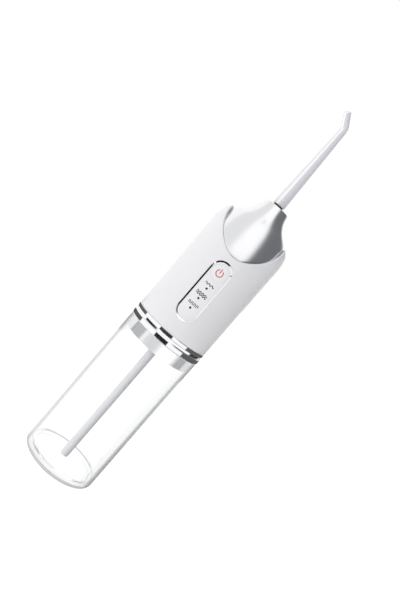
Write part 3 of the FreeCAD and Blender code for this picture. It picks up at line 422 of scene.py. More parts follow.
def sideways(tree):
    """How far a surface faces to the viewer's right: 0 mid-way on an upright tube, 1 at its right edge."""
    geometry = tree.nodes.new("ShaderNodeNewGeometry")
    across = vector_math(tree, "CROSS_PRODUCT", (0, 0, 1), geometry.outputs["Incoming"])
    right = vector_math(tree, "NORMALIZE", across)
    return vector_math(tree, "DOT_PRODUCT", geometry.outputs["Normal"], right)


def mix_shaders(tree, share, first, second):
    """Shader that goes from first to second as share goes from 0 to 1."""
    node = tree.nodes.new("ShaderNodeMixShader")
    tree.links.new(share.socket, node.inputs["Fac"])
    tree.links.new(first.outputs[0], node.inputs[1])
    tree.links.new(second.outputs[0], node.inputs[2])
    return node


def plain_shader(tree, kind, *colour):
    """Simple shader of one colour."""
    node = tree.nodes.new(kind)
    set_inputs(node, Color=(*colour, 1))
    return node


# ---- materials ----------------------------------------------------------------------------------------
MATERIALS = {}


def new_material(name):
    """Adds a material with a Principled shader, and gives its node tree and that shader."""
    material = bpy.data.materials.new(name)
    material.use_nodes = True
    MATERIALS[name] = material
    return material.node_tree, material.node_tree.nodes["Principled BSDF"]


def paint(tree, shader, colour, roughness):
    """Links a colour and a roughness to a shader."""
    tree.links.new(colour, shader.inputs["Base Color"])
    tree.links.new(roughness.socket, shader.inputs["Roughness"])


def bump(tree, height, depth_mm, shader):
    """Fine relief on a shader's surface."""
    node = tree.nodes.new("ShaderNodeBump")
    set_inputs(node, Strength=1.0, Distance=depth_mm * MM)
    tree.links.new(height.socket, node.inputs["Height"])
    tree.links.new(node.outputs["Normal"], shader.inputs["Normal"])


def scaled(colour, factor):
    """A colour made darker or lighter."""
    return tuple(min(1.0, c * factor) for c in colour)


def moulded(name, colour, roughness, grain_mm=0.25, depth_mm=0.004, mottle=0.04, **extra):
    """Moulded or cast surface: fine grain, slightly cloudy colour and uneven gloss."""
    tree, shader = new_material(name)
    clouds = noise(tree, 9.0, 3.0)
    grain = noise(tree, grain_mm, 2.0)
    paint(tree, shader, tint(tree, clouds, scaled(colour, 1 - mottle), scaled(colour, 1 + mottle)),
          clouds * 0.08 + grain * 0.06 + (roughness - 0.07))
    bump(tree, grain, depth_mm, shader)
    set_inputs(shader, **extra)


def drawn_metal(name, colour, roughness, depth_mm=0.002, stretch=(1, 1, 0.04)):
    """Metal with fine lines that run along one axis, and faint handling marks."""
    tree, shader = new_material(name)
    lines = noise(tree, 0.3, 2.0, stretch)
    marks = noise(tree, 4.0, 4.0)
    paint(tree, shader, tint(tree, marks, scaled(colour, 0.94), scaled(colour, 1.05)),
          lines * 0.12 + marks * 0.1 + (roughness - 0.11))
    set_inputs(shader, Metallic=1.0)
    bump(tree, lines, depth_mm, shader)


def satin_silver():
    """Plated satin silver: soft reflections, a trace of cloudiness and a painted bluish shade on the side to
    the viewer's right.
    """
    tree, shader = new_material("satin_silver")
    clouds = noise(tree, 14.0, 3.0)
    sparkle = noise(tree, 0.12, 1.0)
    # painted shade: the colour turns darker and bluish where the surface faces the viewer's right, mixed with
    # real cloudiness
    painted_shade_and_clouds = sideways(tree).above(0.15, 0.45) * 0.8 + clouds * 0.2
    paint(tree, shader, tint(tree, painted_shade_and_clouds, (0.84, 0.84, 0.85), (0.77, 0.78, 0.85)),
          clouds * 0.05 + sparkle * 0.05 + 0.16)
    set_inputs(shader, Metallic=1.0)
    bump(tree, sparkle, 0.0006, shader)


def polished_chrome():
    """Mirror chrome with hairline wipe marks round its axis."""
    tree, shader = new_material("polished_chrome")
    wipes = noise(tree, 0.5, 3.0, (0.12, 0.12, 1.0))
    haze_and_painted_glow = noise(tree, 6.0, 2.0)
    paint(tree, shader, tint(tree, haze_and_painted_glow, (0.86, 0.86, 0.88), (0.92, 0.92, 0.93)),
          wipes * 0.05 + haze_and_painted_glow * 0.04 + 0.01)
    set_inputs(shader, Metallic=1.0)
    bump(tree, wipes, 0.0004, shader)


def shell_white():
    """Gloss white moulded plastic with a faint orange-peel skin."""
    tree, shader = new_material("shell_white")
    clouds = noise(tree, 22.0, 2.0)
    peel = noise(tree, 1.6, 2.0)
    grain = noise(tree, 0.2, 1.0)
    paint(tree, shader, tint(tree, clouds, (0.805, 0.805, 0.825), (0.835, 0.835, 0.85)),
          clouds * 0.05 + grain * 0.05 + 0.25)
    set_inputs(shader, Subsurface_Weight=0.12, Subsurface_Radius=(1.0, 1.0, 1.0), Subsurface_Scale=0.6 * MM)
    bump(tree, peel + grain * 0.15, 0.004, shader)


def clear_plastic():
    """Clear tank plastic, with painted grey shade for the camera where it turns away, and a grey matt band at
    the foot that only the camera sees.

    Shadow and diffuse rays pass straight through it, so that it doesn't darken what is inside. A ray that has
    bounced many times ends in a painted pale glow instead of black.
    """
    tree, shader = new_material("clear_plastic")
    path = tree.nodes.new("ShaderNodeLightPath")
    camera_ray, shadow_ray, diffuse_ray, bounces, mirrorings = (Wire(tree, path.outputs[name]) for name in (
        "Is Camera Ray", "Is Shadow Ray", "Is Diffuse Ray", "Ray Depth", "Glossy Depth"))
    weight = tree.nodes.new("ShaderNodeLayerWeight")
    set_inputs(weight, Blend=0.5)
    facing = Wire(tree, weight.outputs["Facing"])
    # painted shade: for camera rays the base colour turns grey where the wall turns away from the viewer
    edge = (facing.above(0.22, 0.45) * 0.18 + facing.above(0.54, 0.70) * 0.82) * camera_ray
    smears = noise(tree, 18.0, 3.0, (1, 1, 0.3))
    paint(tree, shader, tint(tree, edge, (0.985, 0.99, 0.99), (0.33, 0.33, 0.35)), smears * 0.02)
    set_inputs(shader, Transmission_Weight=1.0, IOR=1.49)
    bump(tree, noise(tree, 12.0, 1.0), 0.004, shader)

    coords = tree.nodes.new("ShaderNodeTexCoord")
    parts = tree.nodes.new("ShaderNodeSeparateXYZ")
    tree.links.new(coords.outputs["Object"], parts.inputs[0])
    # grey matt band over the lowest 2.5 to 2.9 mm of the tank, for camera rays only
    foot = Wire(tree, parts.outputs["Z"]).above(2.9 * MM, 2.5 * MM) * camera_ray * 0.8
    many = (bounces.above(5.4, 5.6) + mirrorings.above(1.4, 1.6)).above(0.1, 0.9)
    clear = plain_shader(tree, "ShaderNodeBsdfTransparent", 0.97, 0.97, 0.975)
    foot_grey_band = plain_shader(tree, "ShaderNodeBsdfDiffuse", 0.50, 0.50, 0.51)
    # painted glow: pale emission that ends paths with many bounces through the tank
    haze_and_painted_glow = plain_shader(tree, "ShaderNodeEmission", 0.95, 0.95, 0.96)
    result = mix_shaders(tree, (shadow_ray + diffuse_ray).above(0.1, 0.9), shader, clear)
    result = mix_shaders(tree, foot, result, foot_grey_band)
    result = mix_shaders(tree, many, result, haze_and_painted_glow)
    tree.links.new(result.outputs[0], tree.nodes["Material Output"].inputs["Surface"])


def frosted_nozzle():
    """Milky plastic, faintly lavender, with a painted highlight: a bright line left of the tube's middle on a
    lighter left side, and a paler right edge, all placed by the view.
    """
    tree, shader = new_material("frosted_nozzle")
    clouds = noise(tree, 7.0, 3.0)
    lines = noise(tree, 0.35, 2.0, (1, 1, 0.05))
    side = sideways(tree)
    # painted highlight: lighter left side with a bright line, and a paler right edge, set by where the
    # surface faces relative to the viewer
    pale = side.above(-0.10, -0.24) * 0.25 + side.inside(-0.58, -0.24, 0.06) * 0.75
    pale = (pale + side.above(0.80, 1.0) * 0.6) * 0.92 + clouds * 0.08
    paint(tree, shader, tint(tree, pale, (0.70, 0.70, 0.755), (1.0, 1.0, 1.0)),
          clouds * 0.06 + lines * 0.06 + 0.20)
    set_inputs(shader, Specular_IOR_Level=0.3)
    bump(tree, lines, 0.0002, shader)


def tube_white():
    """White extruded tube, fine lines along it, darker towards the side away from the light."""
    tree, shader = new_material("tube_white")
    lines = noise(tree, 0.4, 2.0, (1, 1, 0.04))
    clouds = noise(tree, 8.0, 2.0)
    shaded = sideways(tree).above(-0.4, 1.1) * 0.9 + clouds * 0.1
    paint(tree, shader, tint(tree, shaded, (0.84, 0.84, 0.86), (0.45, 0.45, 0.475)),
          lines * 0.06 + clouds * 0.06 + 0.30)
    bump(tree, lines, 0.0005, shader)


def board_green():
    """Solder-mask green with faint copper tracks under it."""
    tree, shader = new_material("board_green")
    tracks = noise(tree, 1.2, 0.0, (1, 1, 0.15)).above(0.48, 0.52)
    tree.links.new(tint(tree, tracks, (0.012, 0.11, 0.05), (0.02, 0.17, 0.075)), shader.inputs["Base Color"])
    set_inputs(shader, Roughness=0.32)
    bump(tree, tracks, 0.02, shader)


def make_materials():
    """Every material of the object. In the tables, each row is a name, a colour, a roughness and the rest."""
    for make in (satin_silver, polished_chrome, shell_white, clear_plastic, frosted_nozzle, tube_white,
                 board_green):
        make()
    for name, roughness in (("panel_white", 0.36), ("button_white", 0.33)):
        moulded(name, (0.86, 0.86, 0.875), roughness, grain_mm=0.18, depth_mm=0.002, mottle=0.015)
    for name, colour in (("ink_red", (0.60, 0.035, 0.05)), ("ink_grey", (0.045, 0.045, 0.05))):
        moulded(name, colour, 0.45, grain_mm=0.15, depth_mm=0.002, mottle=0.08)
    for name, colour, roughness, extra in (
            ("lamp_smoke", (0.012, 0.012, 0.014), 0.16, dict(mottle=0.1, Coat_Weight=0.4)),
            ("gloss_black", (0.010, 0.010, 0.011), 0.22, dict(mottle=0.1, Coat_Weight=0.3)),
            ("soft_rubber", (0.74, 0.74, 0.76), 0.62, dict(grain_mm=0.3, depth_mm=0.012)),
            ("dark_rubber", (0.022, 0.022, 0.024), 0.6, dict(grain_mm=0.3, depth_mm=0.012)),
            ("grey_seal", (0.30, 0.30, 0.31), 0.55, dict(grain_mm=0.3, depth_mm=0.008)),
            ("hose_milky", (0.70, 0.70, 0.66), 0.4, dict(Subsurface_Weight=0.3, Subsurface_Scale=1.0 * MM)),
            ("chassis_grey", (0.23, 0.24, 0.26), 0.55, dict(depth_mm=0.01)),
            ("pump_grey", (0.50, 0.52, 0.56), 0.45, {}),
            ("pump_dark", (0.09, 0.09, 0.10), 0.45, {}),
            ("acetal", (0.78, 0.76, 0.70), 0.38, {}),
            ("piston_dark", (0.035, 0.035, 0.04), 0.35, {}),
            ("magnet", (0.05, 0.05, 0.055), 0.6, dict(depth_mm=0.02, mottle=0.15)),
            ("cell_wrap", (0.03, 0.16, 0.42), 0.22, dict(mottle=0.06, Coat_Weight=0.4)),
            ("wire_red", (0.55, 0.02, 0.02), 0.4, {}),
            ("wire_black", (0.015, 0.015, 0.017), 0.4, {}),
            ("chip_black", (0.02, 0.02, 0.021), 0.55, dict(grain_mm=0.12, depth_mm=0.01)),
            ("lamp_clear", (0.85, 0.85, 0.78), 0.2, dict(Coat_Weight=0.5)),
            ("plunger_black", (0.02, 0.02, 0.02), 0.4, {})):
        moulded(name, colour, roughness, **extra)
    for name, colour, roughness, extra in (
            ("bright_silver", (0.84, 0.84, 0.85), 0.15, dict(depth_mm=0.0004)),
            ("steel", (0.60, 0.60, 0.62), 0.30, {}),
            ("polished_steel", (0.72, 0.72, 0.74), 0.16, dict(depth_mm=0.001)),
            ("nickel", (0.66, 0.64, 0.58), 0.28, dict(stretch=(1, 0.05, 1))),
            ("brass", (0.80, 0.58, 0.25), 0.26, {}),
            ("copper_core", (0.55, 0.33, 0.20), 0.4, {})):
        drawn_metal(name, colour, roughness, **extra)


# the CAD nodes that are shown as they are, by material
DRESSED_NODES = {
    "bright_silver": ["tank_plug"], "grey_seal": ["plug_seal"], "soft_rubber": ["vent_valve", "port_cover"],
    "panel_white": ["control_panel"], "button_white": ["power_button"], "lamp_smoke": ["mode_lights"],
    "plunger_black": ["switch_plunger"], "board_green": ["main_board", "charge_board"],
    "chip_black": ["control_chip"], "lamp_clear": ["status_leds"], "gloss_black": ["nozzle_collar"],
    "steel": ["board_switch", "board_screws", "deck_screws", "plate_screws", "motor_screws", "pump_screws",
              "seat_screws", "motor_can"],
    "polished_steel": ["gear_axle", "crank_pin", "wrist_pin", "inlet_ball", "outlet_ball"],
    "chassis_grey": ["chassis", "gear_plate"], "cell_wrap": ["battery_cell"], "magnet": ["motor_magnets"],
    "nickel": ["battery_tabs", "charge_socket"], "wire_red": ["battery_wires"], "wire_black": ["motor_wires"],
    "acetal": ["motor_endcap", "crank_gear", "connecting_rod", "nozzle_seat"], "copper_core": ["motor_rotor"],
    "brass": ["pinion"], "piston_dark": ["piston"], "pump_grey": ["pump_block"], "pump_dark": ["pump_cap"],
    "dark_rubber": ["piston_seal", "collar_seal", "nozzle_seal"],
    "hose_milky": ["suction_hose", "outlet_hose"],
}


def dress_nodes():
    """Gives every CAD node that stays its material and smooth shading."""
    for material, names in DRESSED_NODES.items():
        for name in names:
            node = frame["nodes"][name]
            node.data.materials.clear()
            node.data.materials.append(MATERIALS[material])
            shade(node)
            node.modifiers.new("flat_shading", "WEIGHTED_NORMAL").keep_sharp = True


# ---- shell and cap, which meet along the saddle -------------------------------------------------------
def saddle_height(x, gap):
    """Height of the saddle edge at |x|, moved by gap to the cap's side, or None outside it."""
    x = abs(x)
    start_x, start_z, angle = 0.0, SADDLE_LOW + gap, 0.0
    for radius, end_deg in SADDLE_ARCS:
        r, end = radius - gap, math.radians(end_deg)
        reach = r * (math.sin(end) - math.sin(angle))
        if x <= start_x + reach:
            s = (x - start_x) / r + math.sin(angle)
            return start_z + r * (math.cos(angle) - math.sqrt(max(0.0, 1 - s * s)))
        start_x += reach
        start_z += r * (math.cos(angle) - math.cos(end))
        angle = end
    return None


def cut_path(points, azimuth, gap=0.0):
    """The stretch of a path of (r, z) points, on one azimuth, that ends at the saddle edge."""
    def beyond(point):
        edge = saddle_height(point[0] * abs(math.cos(azimuth)), gap)
        return edge is not None and point[1] > edge

    started = beyond(points[0])
    for i, (p, q) in enumerate(zip(points, points[1:])):
        if beyond(q) != started:
            low, high = 0.0, 1.0
            for _ in range(24):
                mid = (low + high) / 2
                if beyond((p[0] + (q[0] - p[0]) * mid, p[1] + (q[1] - p[1]) * mid)) == started:
                    low = mid
                else:
                    high = mid
            share = (low + high) / 2
            return points[:i + 1] + [(p[0] + (q[0] - p[0]) * share, p[1] + (q[1] - p[1]) * share)]
    return points


def end_round(path, after, radius, steps, samples):
    """Round at the end of a path, towards after, that may take up so many samples of the path."""
    end, before = np.array(path[-1]), np.array(path[-2])
    return fillet(end + (before - end) * samples, end, after, radius, steps)


def body_shell():
    """White sleeve with the saddle cut into its top and rounded all along the cut."""
    inner_r, lining_top = SHELL_R - SHELL_WALL, 186
    foot_samples, lip_samples = 3, 7
    skin = [(SHELL_R, z) for z in np.linspace(SHELL_LOW, SHOULDER[0][1], 40)][:-1]
    skin += smooth_curve(SHOULDER, 60, (0, 1), (-1, 0.35))
    bell = smooth_curve(BELL, 200, (0, 1), (-0.25, 1))
    lining = [(inner_r, z) for z in np.linspace(SHELL_LOW, lining_top, 60)]
    lining += [(r, z) for r, z in bell if r < inner_r and z > lining_top]
    columns = []
    for i in range(SHELL_COLUMNS):
        azimuth = TURN * i / SHELL_COLUMNS
        outer = resample(at_azimuth(cut_path(skin, azimuth), azimuth), 90, 0.75)
        inner = resample(at_azimuth(cut_path(lining, azimuth), azimuth), 24)
        x, y, z = outer[-1]
        step = max(0.0, math.hypot(x, y) - float(np.interp(z, [q for _, q in bell], [r for r, _ in bell])))
        lip = end_round(outer, inner[-1], 0.35 + step, 9, lip_samples)
        foot = fillet(inner[0], outer[0], outer[foot_samples], 0.25, 3)
        columns.append(foot + outer[foot_samples:-lip_samples] + lip + inner[::-1])
    shell = make_piece("shell_sleeve", loop_grid(columns), "handle", "body_shell", "shell_white")
    panel_gap, port_gap, port_corner = 0.02, 0.22, 2.3
    front_cut, back_cut = (-30, -18), (20, 30)
    panel = stadium_points(PANEL_HALF_W + panel_gap, PANEL_HALF_H + panel_gap, PANEL_MID)
    cut_away(shell, prism(panel, *front_cut))
    (x0, x1), (z0, z1) = ((low - port_gap, high + port_gap) for low, high in (
        span("port_cover", 0), span("port_cover", 2)))
    port = rounded([(x, z, port_corner) for x, z in ((x0, z0), (x1, z0), (x1, z1), (x0, z1))], 8)
    cut_away(shell, prism(port, *back_cut))


def bell_cap():
    """Satin silver bell, from the neck down to the saddle edge, with a fine round along the edge."""
    neck_hole, thickness, drop = 3.45, 1.6, 0.2
    samples = 3
    bell = smooth_curve(BELL, 240, (0, 1), (-0.25, 1))[::-1]
    lining = [(r - thickness, z - drop) for r, z in bell]
    columns = []
    for i in range(SHELL_COLUMNS):
        azimuth = TURN * i / SHELL_COLUMNS
        outer = resample(at_azimuth(cut_path(bell, azimuth, SEAM_GAP), azimuth), 110)
        inner = resample(at_azimuth(cut_path(lining, azimuth, SEAM_GAP), azimuth), 20)
        lip = end_round(outer, inner[-1], 0.15, 4, samples)
        hole = at_azimuth([(neck_hole, inner[0][2]), (neck_hole, outer[0][2])], azimuth)
        rim = fillet(hole[1], outer[0], outer[samples], 0.35, 5)
        columns.append(rim + outer[samples:-samples] + lip + inner[::-1] + hole)
    make_piece("bell_cap", loop_grid(columns), "handle", "top_cap", "satin_silver")


# ---- ring, tank, tube ---------------------------------------------------------------------------------
def trim_ring():
    """Chrome ring: a full lower band, a sloping waist and a full upper bead."""
    z, r = RING_LOW, RING_R
    inner_low, inner_high, shelf = 25.1, 24.0, RING_LOW + 4.8
    outline = [(inner_low, z), (r, z, 0.35), (r, z + 3.25, 0.3), (r - 0.8, z + 3.35, 0.1)]
    outline += [(r - 0.45, z + 5.15, 0.1), (r - 0.12, z + 5.2, 0.15), (r - 0.12, RING_TOP - 0.1, 0.2)]
    outline += [(r - 0.5, RING_TOP, 0.1), (inner_high, RING_TOP), (inner_high, shelf), (inner_low, shelf)]
    make_piece("trim_ring", lathe(rounded(outline, 6), 240), "handle", "base_ring", "polished_chrome")


def clear_tank():
    """Clear cup with a thick rounded foot, a recessed bottom and a thin spigot."""
    bore = TANK_R - TANK_WALL
    floor_z, recess_r, recess_z = TANK_LOW + 3.4, 22.0, TANK_LOW + 1.2
    outline = [(0, recess_z), (recess_r * 0.5, recess_z), (recess_r, recess_z, 0.5)]
    outline += [(recess_r + 0.3, TANK_LOW, 0.5), (TANK_R, TANK_LOW, 1.6), (TANK_R, TANK_RIM, 0.25)]
    outline += [(SPIGOT_R, TANK_RIM, 0.1), (SPIGOT_R, TANK_TOP, 0.3), (bore, TANK_TOP, 0.3)]
    outline += [(bore, floor_z, 3.0), (bore * 0.5, floor_z), (0, floor_z)]
    make_piece("clear_tank", lathe(rounded(outline, 8), 240), "tank", "water_tank", "clear_plastic")


def suction_tube():
    """White tube that hangs from the plug into the tank."""
    bore = TUBE_R - 0.95
    outline = [(bore, TUBE_LOW, 0.2), (TUBE_R, TUBE_LOW, 0.3), (TUBE_R, TUBE_TOP, 0.2), (bore, TUBE_TOP, 0.2)]
    make_piece("dip_tube", lathe(rounded(outline, 4), 64), "handle", "suction_tube", "tube_white")


# ---- panel --------------------------------------------------------------------------------------------
def chamfer_bezel():
    """Chrome ring round the panel, sloping in from the shell's surface to the panel's face."""
    inner_r = SHELL_R - SHELL_WALL + 0.1
    loops = []
    for inset, r in ((0.0, SHELL_R - 0.02), (0.04, SHELL_R + 0.02), (0.10, SHELL_R), (0.18, SHELL_R - 0.06),
                     (1.03, PANEL_FACE_R + 0.03), (BEZEL_W, PANEL_FACE_R - 0.05), (BEZEL_W, inner_r),
                     (0.0, inner_r)):
        points = stadium_points(PANEL_HALF_W - inset, PANEL_HALF_H - inset, PANEL_MID, 32)
        loops.append([on_front(x, z, r) for x, z in points])
    make_piece("chamfer_bezel", loop_grid(list(zip(*loops))), "handle", "panel_bezel", "polished_chrome")


def stroke(path, width, radius):
    """Raised line of one width along a path of (x, z) points on the front of a cylinder."""
    p = np.array(path, float)
    low, high = radius - 0.05, radius + 0.05
    rings = []
    for i, point in enumerate(p):
        along = p[min(i + 1, len(p) - 1)] - p[max(i - 1, 0)]
        along /= np.linalg.norm(along)
        offset = np.array([-along[1], along[0]]) * width / 2
        left, right = point + offset, point - offset
        corners = ((left, low), (left, high), (right, high), (right, low))
        rings.append([on_front(*corner, r) for corner, r in corners])
    return capped_rod(rings)


def power_symbol():
    """The common power sign: an open ring with a bar."""
    width, surface = 0.55, PANEL_FACE_R + 0.05
    ring = stroke(arc_points(0, BUTTON_MID, 2.15, 122, 418, 44), width, surface)
    bar = stroke([(0, BUTTON_MID + 0.1), (0, BUTTON_MID + 2.9)], width, surface)
    make_piece("power_symbol", joined([ring, bar]), "power_button", "power_button", "ink_red", False)


def mode_marks():
    """Plain pictograms over the three lights: one ripple, two ripples, and a pulse."""
    lamp, rise, width = 1.4, 2.85, 0.5
    pitch = (LIGHTS_HIGH - LIGHTS_LOW - lamp) / 2
    top, middle, bottom = (LIGHTS_LOW + lamp / 2 + pitch * i + rise for i in (2, 1, 0))

    def ripple(z, half, swing, turns):
        xs = np.linspace(-half, half, 12 * turns + 1)
        points = [(x, z + swing * math.sin(TURN * turns * (x + half) / (2 * half))) for x in xs]
        return stroke(points, width, PANEL_FACE_R)

    tooth, spacing, swing, slope = 0.9, 1.9, 0.7, 0.02
    pulse = []
    for i in range(4):
        x0 = -1.5 * spacing + i * spacing - tooth / 2
        x1 = x0 + tooth
        pulse += [(x0, bottom - swing), (x0 + slope, bottom + swing)]
        pulse += [(x1 - slope, bottom + swing), (x1, bottom - swing)]
    for name, strokes in (("mark_gentle", [ripple(top, 3.1, 0.5, 3)]),
                          ("mark_strong", [ripple(middle + dz, 3.7, 0.42, 4) for dz in (0.62, -0.62)]),
                          ("mark_pulse", [stroke(pulse, width * 0.9, PANEL_FACE_R)])):
        make_piece(name, joined(strokes), "handle", "control_panel", "ink_grey", False)


# ---- nozzle -------------------------------------------------------------------------------------------
def nozzle_path():
    """Centre line of the nozzle from its base to the tip, as points with directions."""
    bend_z, bend, lean_turn, radius, tip_length = 274.1, math.radians(46), math.radians(46), 4.5, 10.8
    lean, up = Vector((-math.cos(lean_turn), -math.sin(lean_turn), 0)), Vector((0, 0, 1))
    tangent = radius * math.tan(bend / 2)
    start_z = bend_z - tangent
    stations = [(Vector((0, 0, z)), up) for z in np.linspace(NOZZLE_BASE, start_z, STRAIGHT_STEPS)]
    centre = Vector((0, 0, start_z)) + lean * radius
    for i in range(1, BEND_STEPS + 1):
        a = bend * i / BEND_STEPS
        point = centre - lean * radius * math.cos(a) + up * radius * math.sin(a)
        stations.append((point, lean * math.sin(a) + up * math.cos(a)))
    last, direction = stations[-1]
    for i in range(1, TIP_STEPS + 1):
        stations.append((last + direction * (tip_length - tangent) * i / TIP_STEPS, direction))
    return stations


def nozzle():
    """Tapered tube with a soft base rim, a bent tip, an open jet hole, and a stem with a seal groove."""
    base_r, bend_r, tip_r, jet_r, bore_r = 4.25, 2.4, 2.1, 0.45, 0.85
    stem_r, stem_low, segments = 2.25, 201.3, 48
    radii = [base_r + (bend_r - base_r) * i / (STRAIGHT_STEPS - 1) for i in range(STRAIGHT_STEPS)]
    radii += [bend_r] * BEND_STEPS
    radii += [bend_r + (tip_r - bend_r) * i / TIP_STEPS for i in range(1, TIP_STEPS + 1)]
    outer = [(point, direction, r) for (point, direction), r in zip(nozzle_path(), radii)]

    def ring(point, direction, r):
        side = Vector((0, 1, 0))
        u = (side - direction * side.dot(direction)).normalized()
        v = direction.cross(u)
        angles = (TURN * i / segments for i in range(segments))
        return [tuple(point + (u * math.cos(a) + v * math.sin(a)) * r) for a in angles]

    def round_over(station, radius, inward, degrees):
        """The outer edge of a station rounded off; inward is 1 where the tube starts and -1 where it ends."""
        point, direction, r = station
        angles = (math.radians(x) for x in degrees)
        return [(point + direction * (inward * radius * (1 - math.sin(a))), direction,
                 r - radius * (1 - math.cos(a))) for a in angles]

    up = outer[0][1]
    groove = [(205.6, stem_r), (205.65, 1.53), (206.55, 1.53), (206.6, stem_r)]
    stem = [(stem_low, stem_r - 0.2), (stem_low + 0.2, stem_r)] + groove + [(NOZZLE_BASE, stem_r)]
    rows = [(Vector((0, 0, z)), up, r) for z, r in stem]
    rows += round_over(outer[0], 0.5, 1, (90, 60, 30)) + outer[1:-1]
    rows += round_over(outer[-1], 0.6, -1, (15, 35, 55, 75, 90))
    tip, direction, _ = outer[-1]
    rows += [(tip, direction, jet_r), (tip - direction * 1.2, direction, jet_r)]
    rows += [(p, d, bore_r) for p, d, _ in outer[-4:2:-3]] + [(Vector((0, 0, stem_low)), up, bore_r)]
    columns = list(zip(*[ring(*row) for row in rows]))
    make_piece("nozzle_tube", loop_grid(columns), "nozzle", "nozzle", "frosted_nozzle")


# ---- valve springs ------------------------------------------------------------------------------------
def valve_spring(name):
    """Round-wire coil over a valve ball, with a mesh of its own."""
    node, joint = name + "_spring", name + "_ball_lift"
    (x0, x1), (y0, y1), (z0, z1) = (span(node, axis) for axis in range(3))
    wire_r, turns, per_turn, sides = 0.15, 2.5, 40, 12
    x, y, coil_r = (x0 + x1) / 2, (y0 + y1) / 2, (x1 - x0) / 2 - wire_r
    steps = int(turns * per_turn)
    rings = []
    for i in range(steps + 1):
        turn = TURN * i / per_turn
        z = z0 + wire_r + (z1 - z0 - 2 * wire_r) * i / steps
        wire = wire_r * (0.7 if i in (0, steps) else 1.0)
        section = [(coil_r + wire * math.cos(a), z + wire * math.sin(a))
                   for a in (TURN * k / sides for k in range(sides))]
        rings.append([(x + px, y + py, pz) for px, py, pz in at_azimuth(section, turn)])
    coil = make_piece(name + "_coil", capped_rod(rings), "handle", node, "polished_steel")
    lift = next(j for j in frame["joints"] if j["name"] == joint)["range_m"][1]
    keep = 1 - lift / ((z1 - z0) * MM)
    x * MM
    y * MM
    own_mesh(coil)


# ---- stage, camera, light -----------------------------------------------------------------------------
def floor():
    """Plain pale floor. Mirrors and the clear tank don't see it, so that they show the studio instead."""
    bpy.ops.mesh.primitive_circle_add(vertices=128, radius=3.0, fill_type="NGON", location=(0, 0, -0.0002))
    disc = bpy.context.object
    disc.name = "floor"
    tree, shader = new_material("floor_white")
    paper = noise(tree, 1.5, 3.0)
    tree.links.new(tint(tree, paper, (0.90, 0.90, 0.90), (0.92, 0.92, 0.92)), shader.inputs["Base Color"])
    set_inputs(shader, Roughness=0.9, Specular_IOR_Level=0.0, Emission_Color=(1, 1, 1, 1),
               Emission_Strength=0.45)
    disc.data.materials.append(MATERIALS["floor_white"])
    disc.visible_glossy = False
    disc.visible_transmission = False


def camera():
    """Camera just above the panel's height, rolled so that the upright flosser leans to the right."""
    focal_mm, sensor_mm = 34.5, 36.0
    distance, elevation, roll = 0.3605, math.radians(4.5), math.radians(40.86)
    target = Vector((1.45, 0, 137.8)) * MM
    back = Vector((0, -math.cos(elevation), math.sin(elevation)))
    data = bpy.data.cameras.new("camera")
    data.lens, data.sensor_width = focal_mm, sensor_mm
    data.clip_start, data.clip_end = 0.01, 20
    cam = bpy.data.objects.new("camera", data)
    bpy.context.scene.collection.objects.link(cam)
    look = (-back).to_track_quat("-Z", "Y").to_matrix().to_4x4()
    cam.matrix_world = Matrix.Translation(target + back * distance) @ look @ Matrix.Rotation(roll, 4, "Z")
    bpy.context.scene.camera = cam


def mirror_cards(tree, turn, z):
    """What mirrors see, by the height z of the ray and the place round an upright mirror it comes from."""
    # above the horizon, for the cap: white, light grey, a white centre, a dark right side and a paler rim
    high = constant(tree, 0.90).swap(1.12, turn.above(-0.72, -0.95))
    high = high.swap(1.20, turn.inside(-0.21, 0.27, 0.09))
    high = high.swap(0.19, turn.above(0.24, 0.40)).swap(0.75, turn.above(1.6, 3.2))
    # level, for the bezel: white with a black right side
    level = constant(tree, 1.0).swap(0.01, turn.above(0.22, 0.30)).swap(0.8, turn.above(2.2, 3.4))
    # a little below, for upright bands of the ring: black centre, white on both sides of it, dark ends
    band = constant(tree, 1.08).swap(0.015, turn.inside(-0.23, 0.145, 0.012))
    band = band.swap(0.10, turn.above(-0.90, -0.97)).swap(0.12, turn.above(0.64, 0.70))
    # lower, for the ring's waist: white, a black patch left of the centre and a dark right end
    low = constant(tree, 1.08)
    low = low.swap(0.015, turn.inside(-0.80, -0.28, 0.02) * z.inside(-0.51, -0.42, 0.005))
    low = low.swap(0.05, turn.above(0.95, 1.1)).swap(0.8, turn.above(2.2, 3.4))
    # lower still, for the bezel's upper round: black from the centre to the right
    deep = constant(tree, 1.0).swap(0.01, turn.above(-0.20, -0.10)).swap(0.8, turn.above(2.2, 3.4))
    cards = level.swap(high, z.above(0.03, 0.09)).swap(low, z.above(-0.30, -0.32))
    return cards.swap(deep, z.above(-0.53, -0.55)).swap(band, z.inside(-0.205, -0.142, 0.006))


def plug_cards(tree, turn):
    """What the plug mirrors through the clear tank: grey and white patches."""
    cards = constant(tree, 0.85).swap(0.52, turn.inside(-1.18, -0.52, 0.03))
    cards = cards.swap(1.10, turn.inside(-0.50, -0.37, 0.03)).swap(1.40, turn.inside(0.07, 0.62, 0.10))
    cards = cards.swap(0.50, turn.inside(0.76, 1.33, 0.05))
    return cards.swap(1.20, turn.above(-1.18, -1.24)).swap(1.0, turn.above(1.33, 1.42))


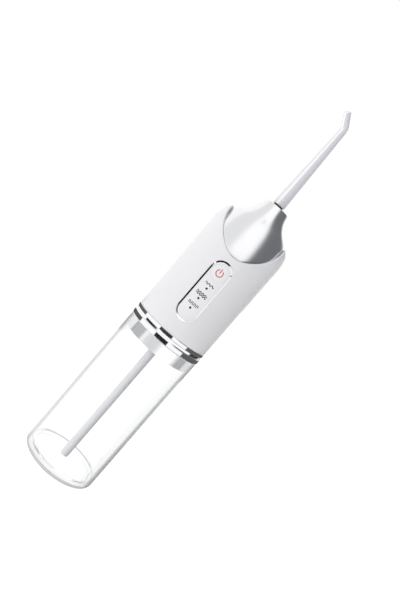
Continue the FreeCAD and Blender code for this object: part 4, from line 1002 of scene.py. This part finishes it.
def studio():
    """White studio whose cards keep their places relative to the viewer.

    The camera sees plain white. Through the clear tank there is a white backdrop that is grey off to the
    sides. Mirrors see their own cards, and matt surfaces get soft light that is stronger from the left.
    """
    world = bpy.data.worlds.new("studio")
    bpy.context.scene.world = world
    world.use_nodes = True
    tree = world.node_tree
    tree.nodes.clear()
    geometry = tree.nodes.new("ShaderNodeNewGeometry")
    view = tree.nodes.new("ShaderNodeVectorTransform")
    view.vector_type, view.convert_from, view.convert_to = "VECTOR", "CAMERA", "WORLD"
    view.inputs[0].default_value = (0, 0, 1)
    forward = view.outputs[0]
    ray = vector_math(tree, "MULTIPLY", geometry.outputs["Incoming"], (-1, -1, -1))
    ahead = vector_math(tree, "NORMALIZE", vector_math(tree, "MULTIPLY", forward, (1, 1, 0)))
    right = vector_math(tree, "CROSS_PRODUCT", ahead, (0, 0, 1))
    x, y, z, straight = (vector_math(tree, "DOT_PRODUCT", ray, axis)
                         for axis in (right, ahead, (0, 0, 1), forward))
    # tangent of the angle round an upright mirror at which this ray leaves it, 0 where it faces the viewer
    turn = x / (constant(tree, 1.0) - y)

    path = tree.nodes.new("ShaderNodeLightPath")
    camera_ray, mirror_ray, diffuse_ray, passes, mirrorings = (Wire(tree, path.outputs[name]) for name in (
        "Is Camera Ray", "Is Glossy Ray", "Is Diffuse Ray", "Transmission Depth", "Glossy Depth"))
    backdrop = constant(tree, 0.45).swap(1.18, straight.above(0.55, 0.90))
    backdrop = backdrop.swap(plug_cards(tree, turn), mirrorings.above(0.4, 0.6))
    shown = constant(tree, 0.85) - x * 0.27 - x.above(0.15, 1.0) * 0.45
    shown = shown.swap(mirror_cards(tree, turn, z), mirror_ray)
    shown = shown.swap(backdrop, passes.above(0.4, 0.6) * (constant(tree, 1.0) - diffuse_ray))
    shown = shown.swap(1.0, camera_ray)
    background = plain_shader(tree, "ShaderNodeBackground", 1, 1, 1)
    output = tree.nodes.new("ShaderNodeOutputWorld")
    tree.links.new(shown.socket, background.inputs["Strength"])
    tree.links.new(background.outputs[0], output.inputs["Surface"])
    world.cycles.sampling_method = "NONE"
    bpy.context.scene.view_settings.view_transform = "Standard"


make_materials()
dress_nodes()
body_shell()
bell_cap()
trim_ring()
clear_tank()
suction_tube()
chamfer_bezel()
power_symbol()
mode_marks()
nozzle()
valve_spring("inlet")
valve_spring("outlet")
floor()
studio()
camera()
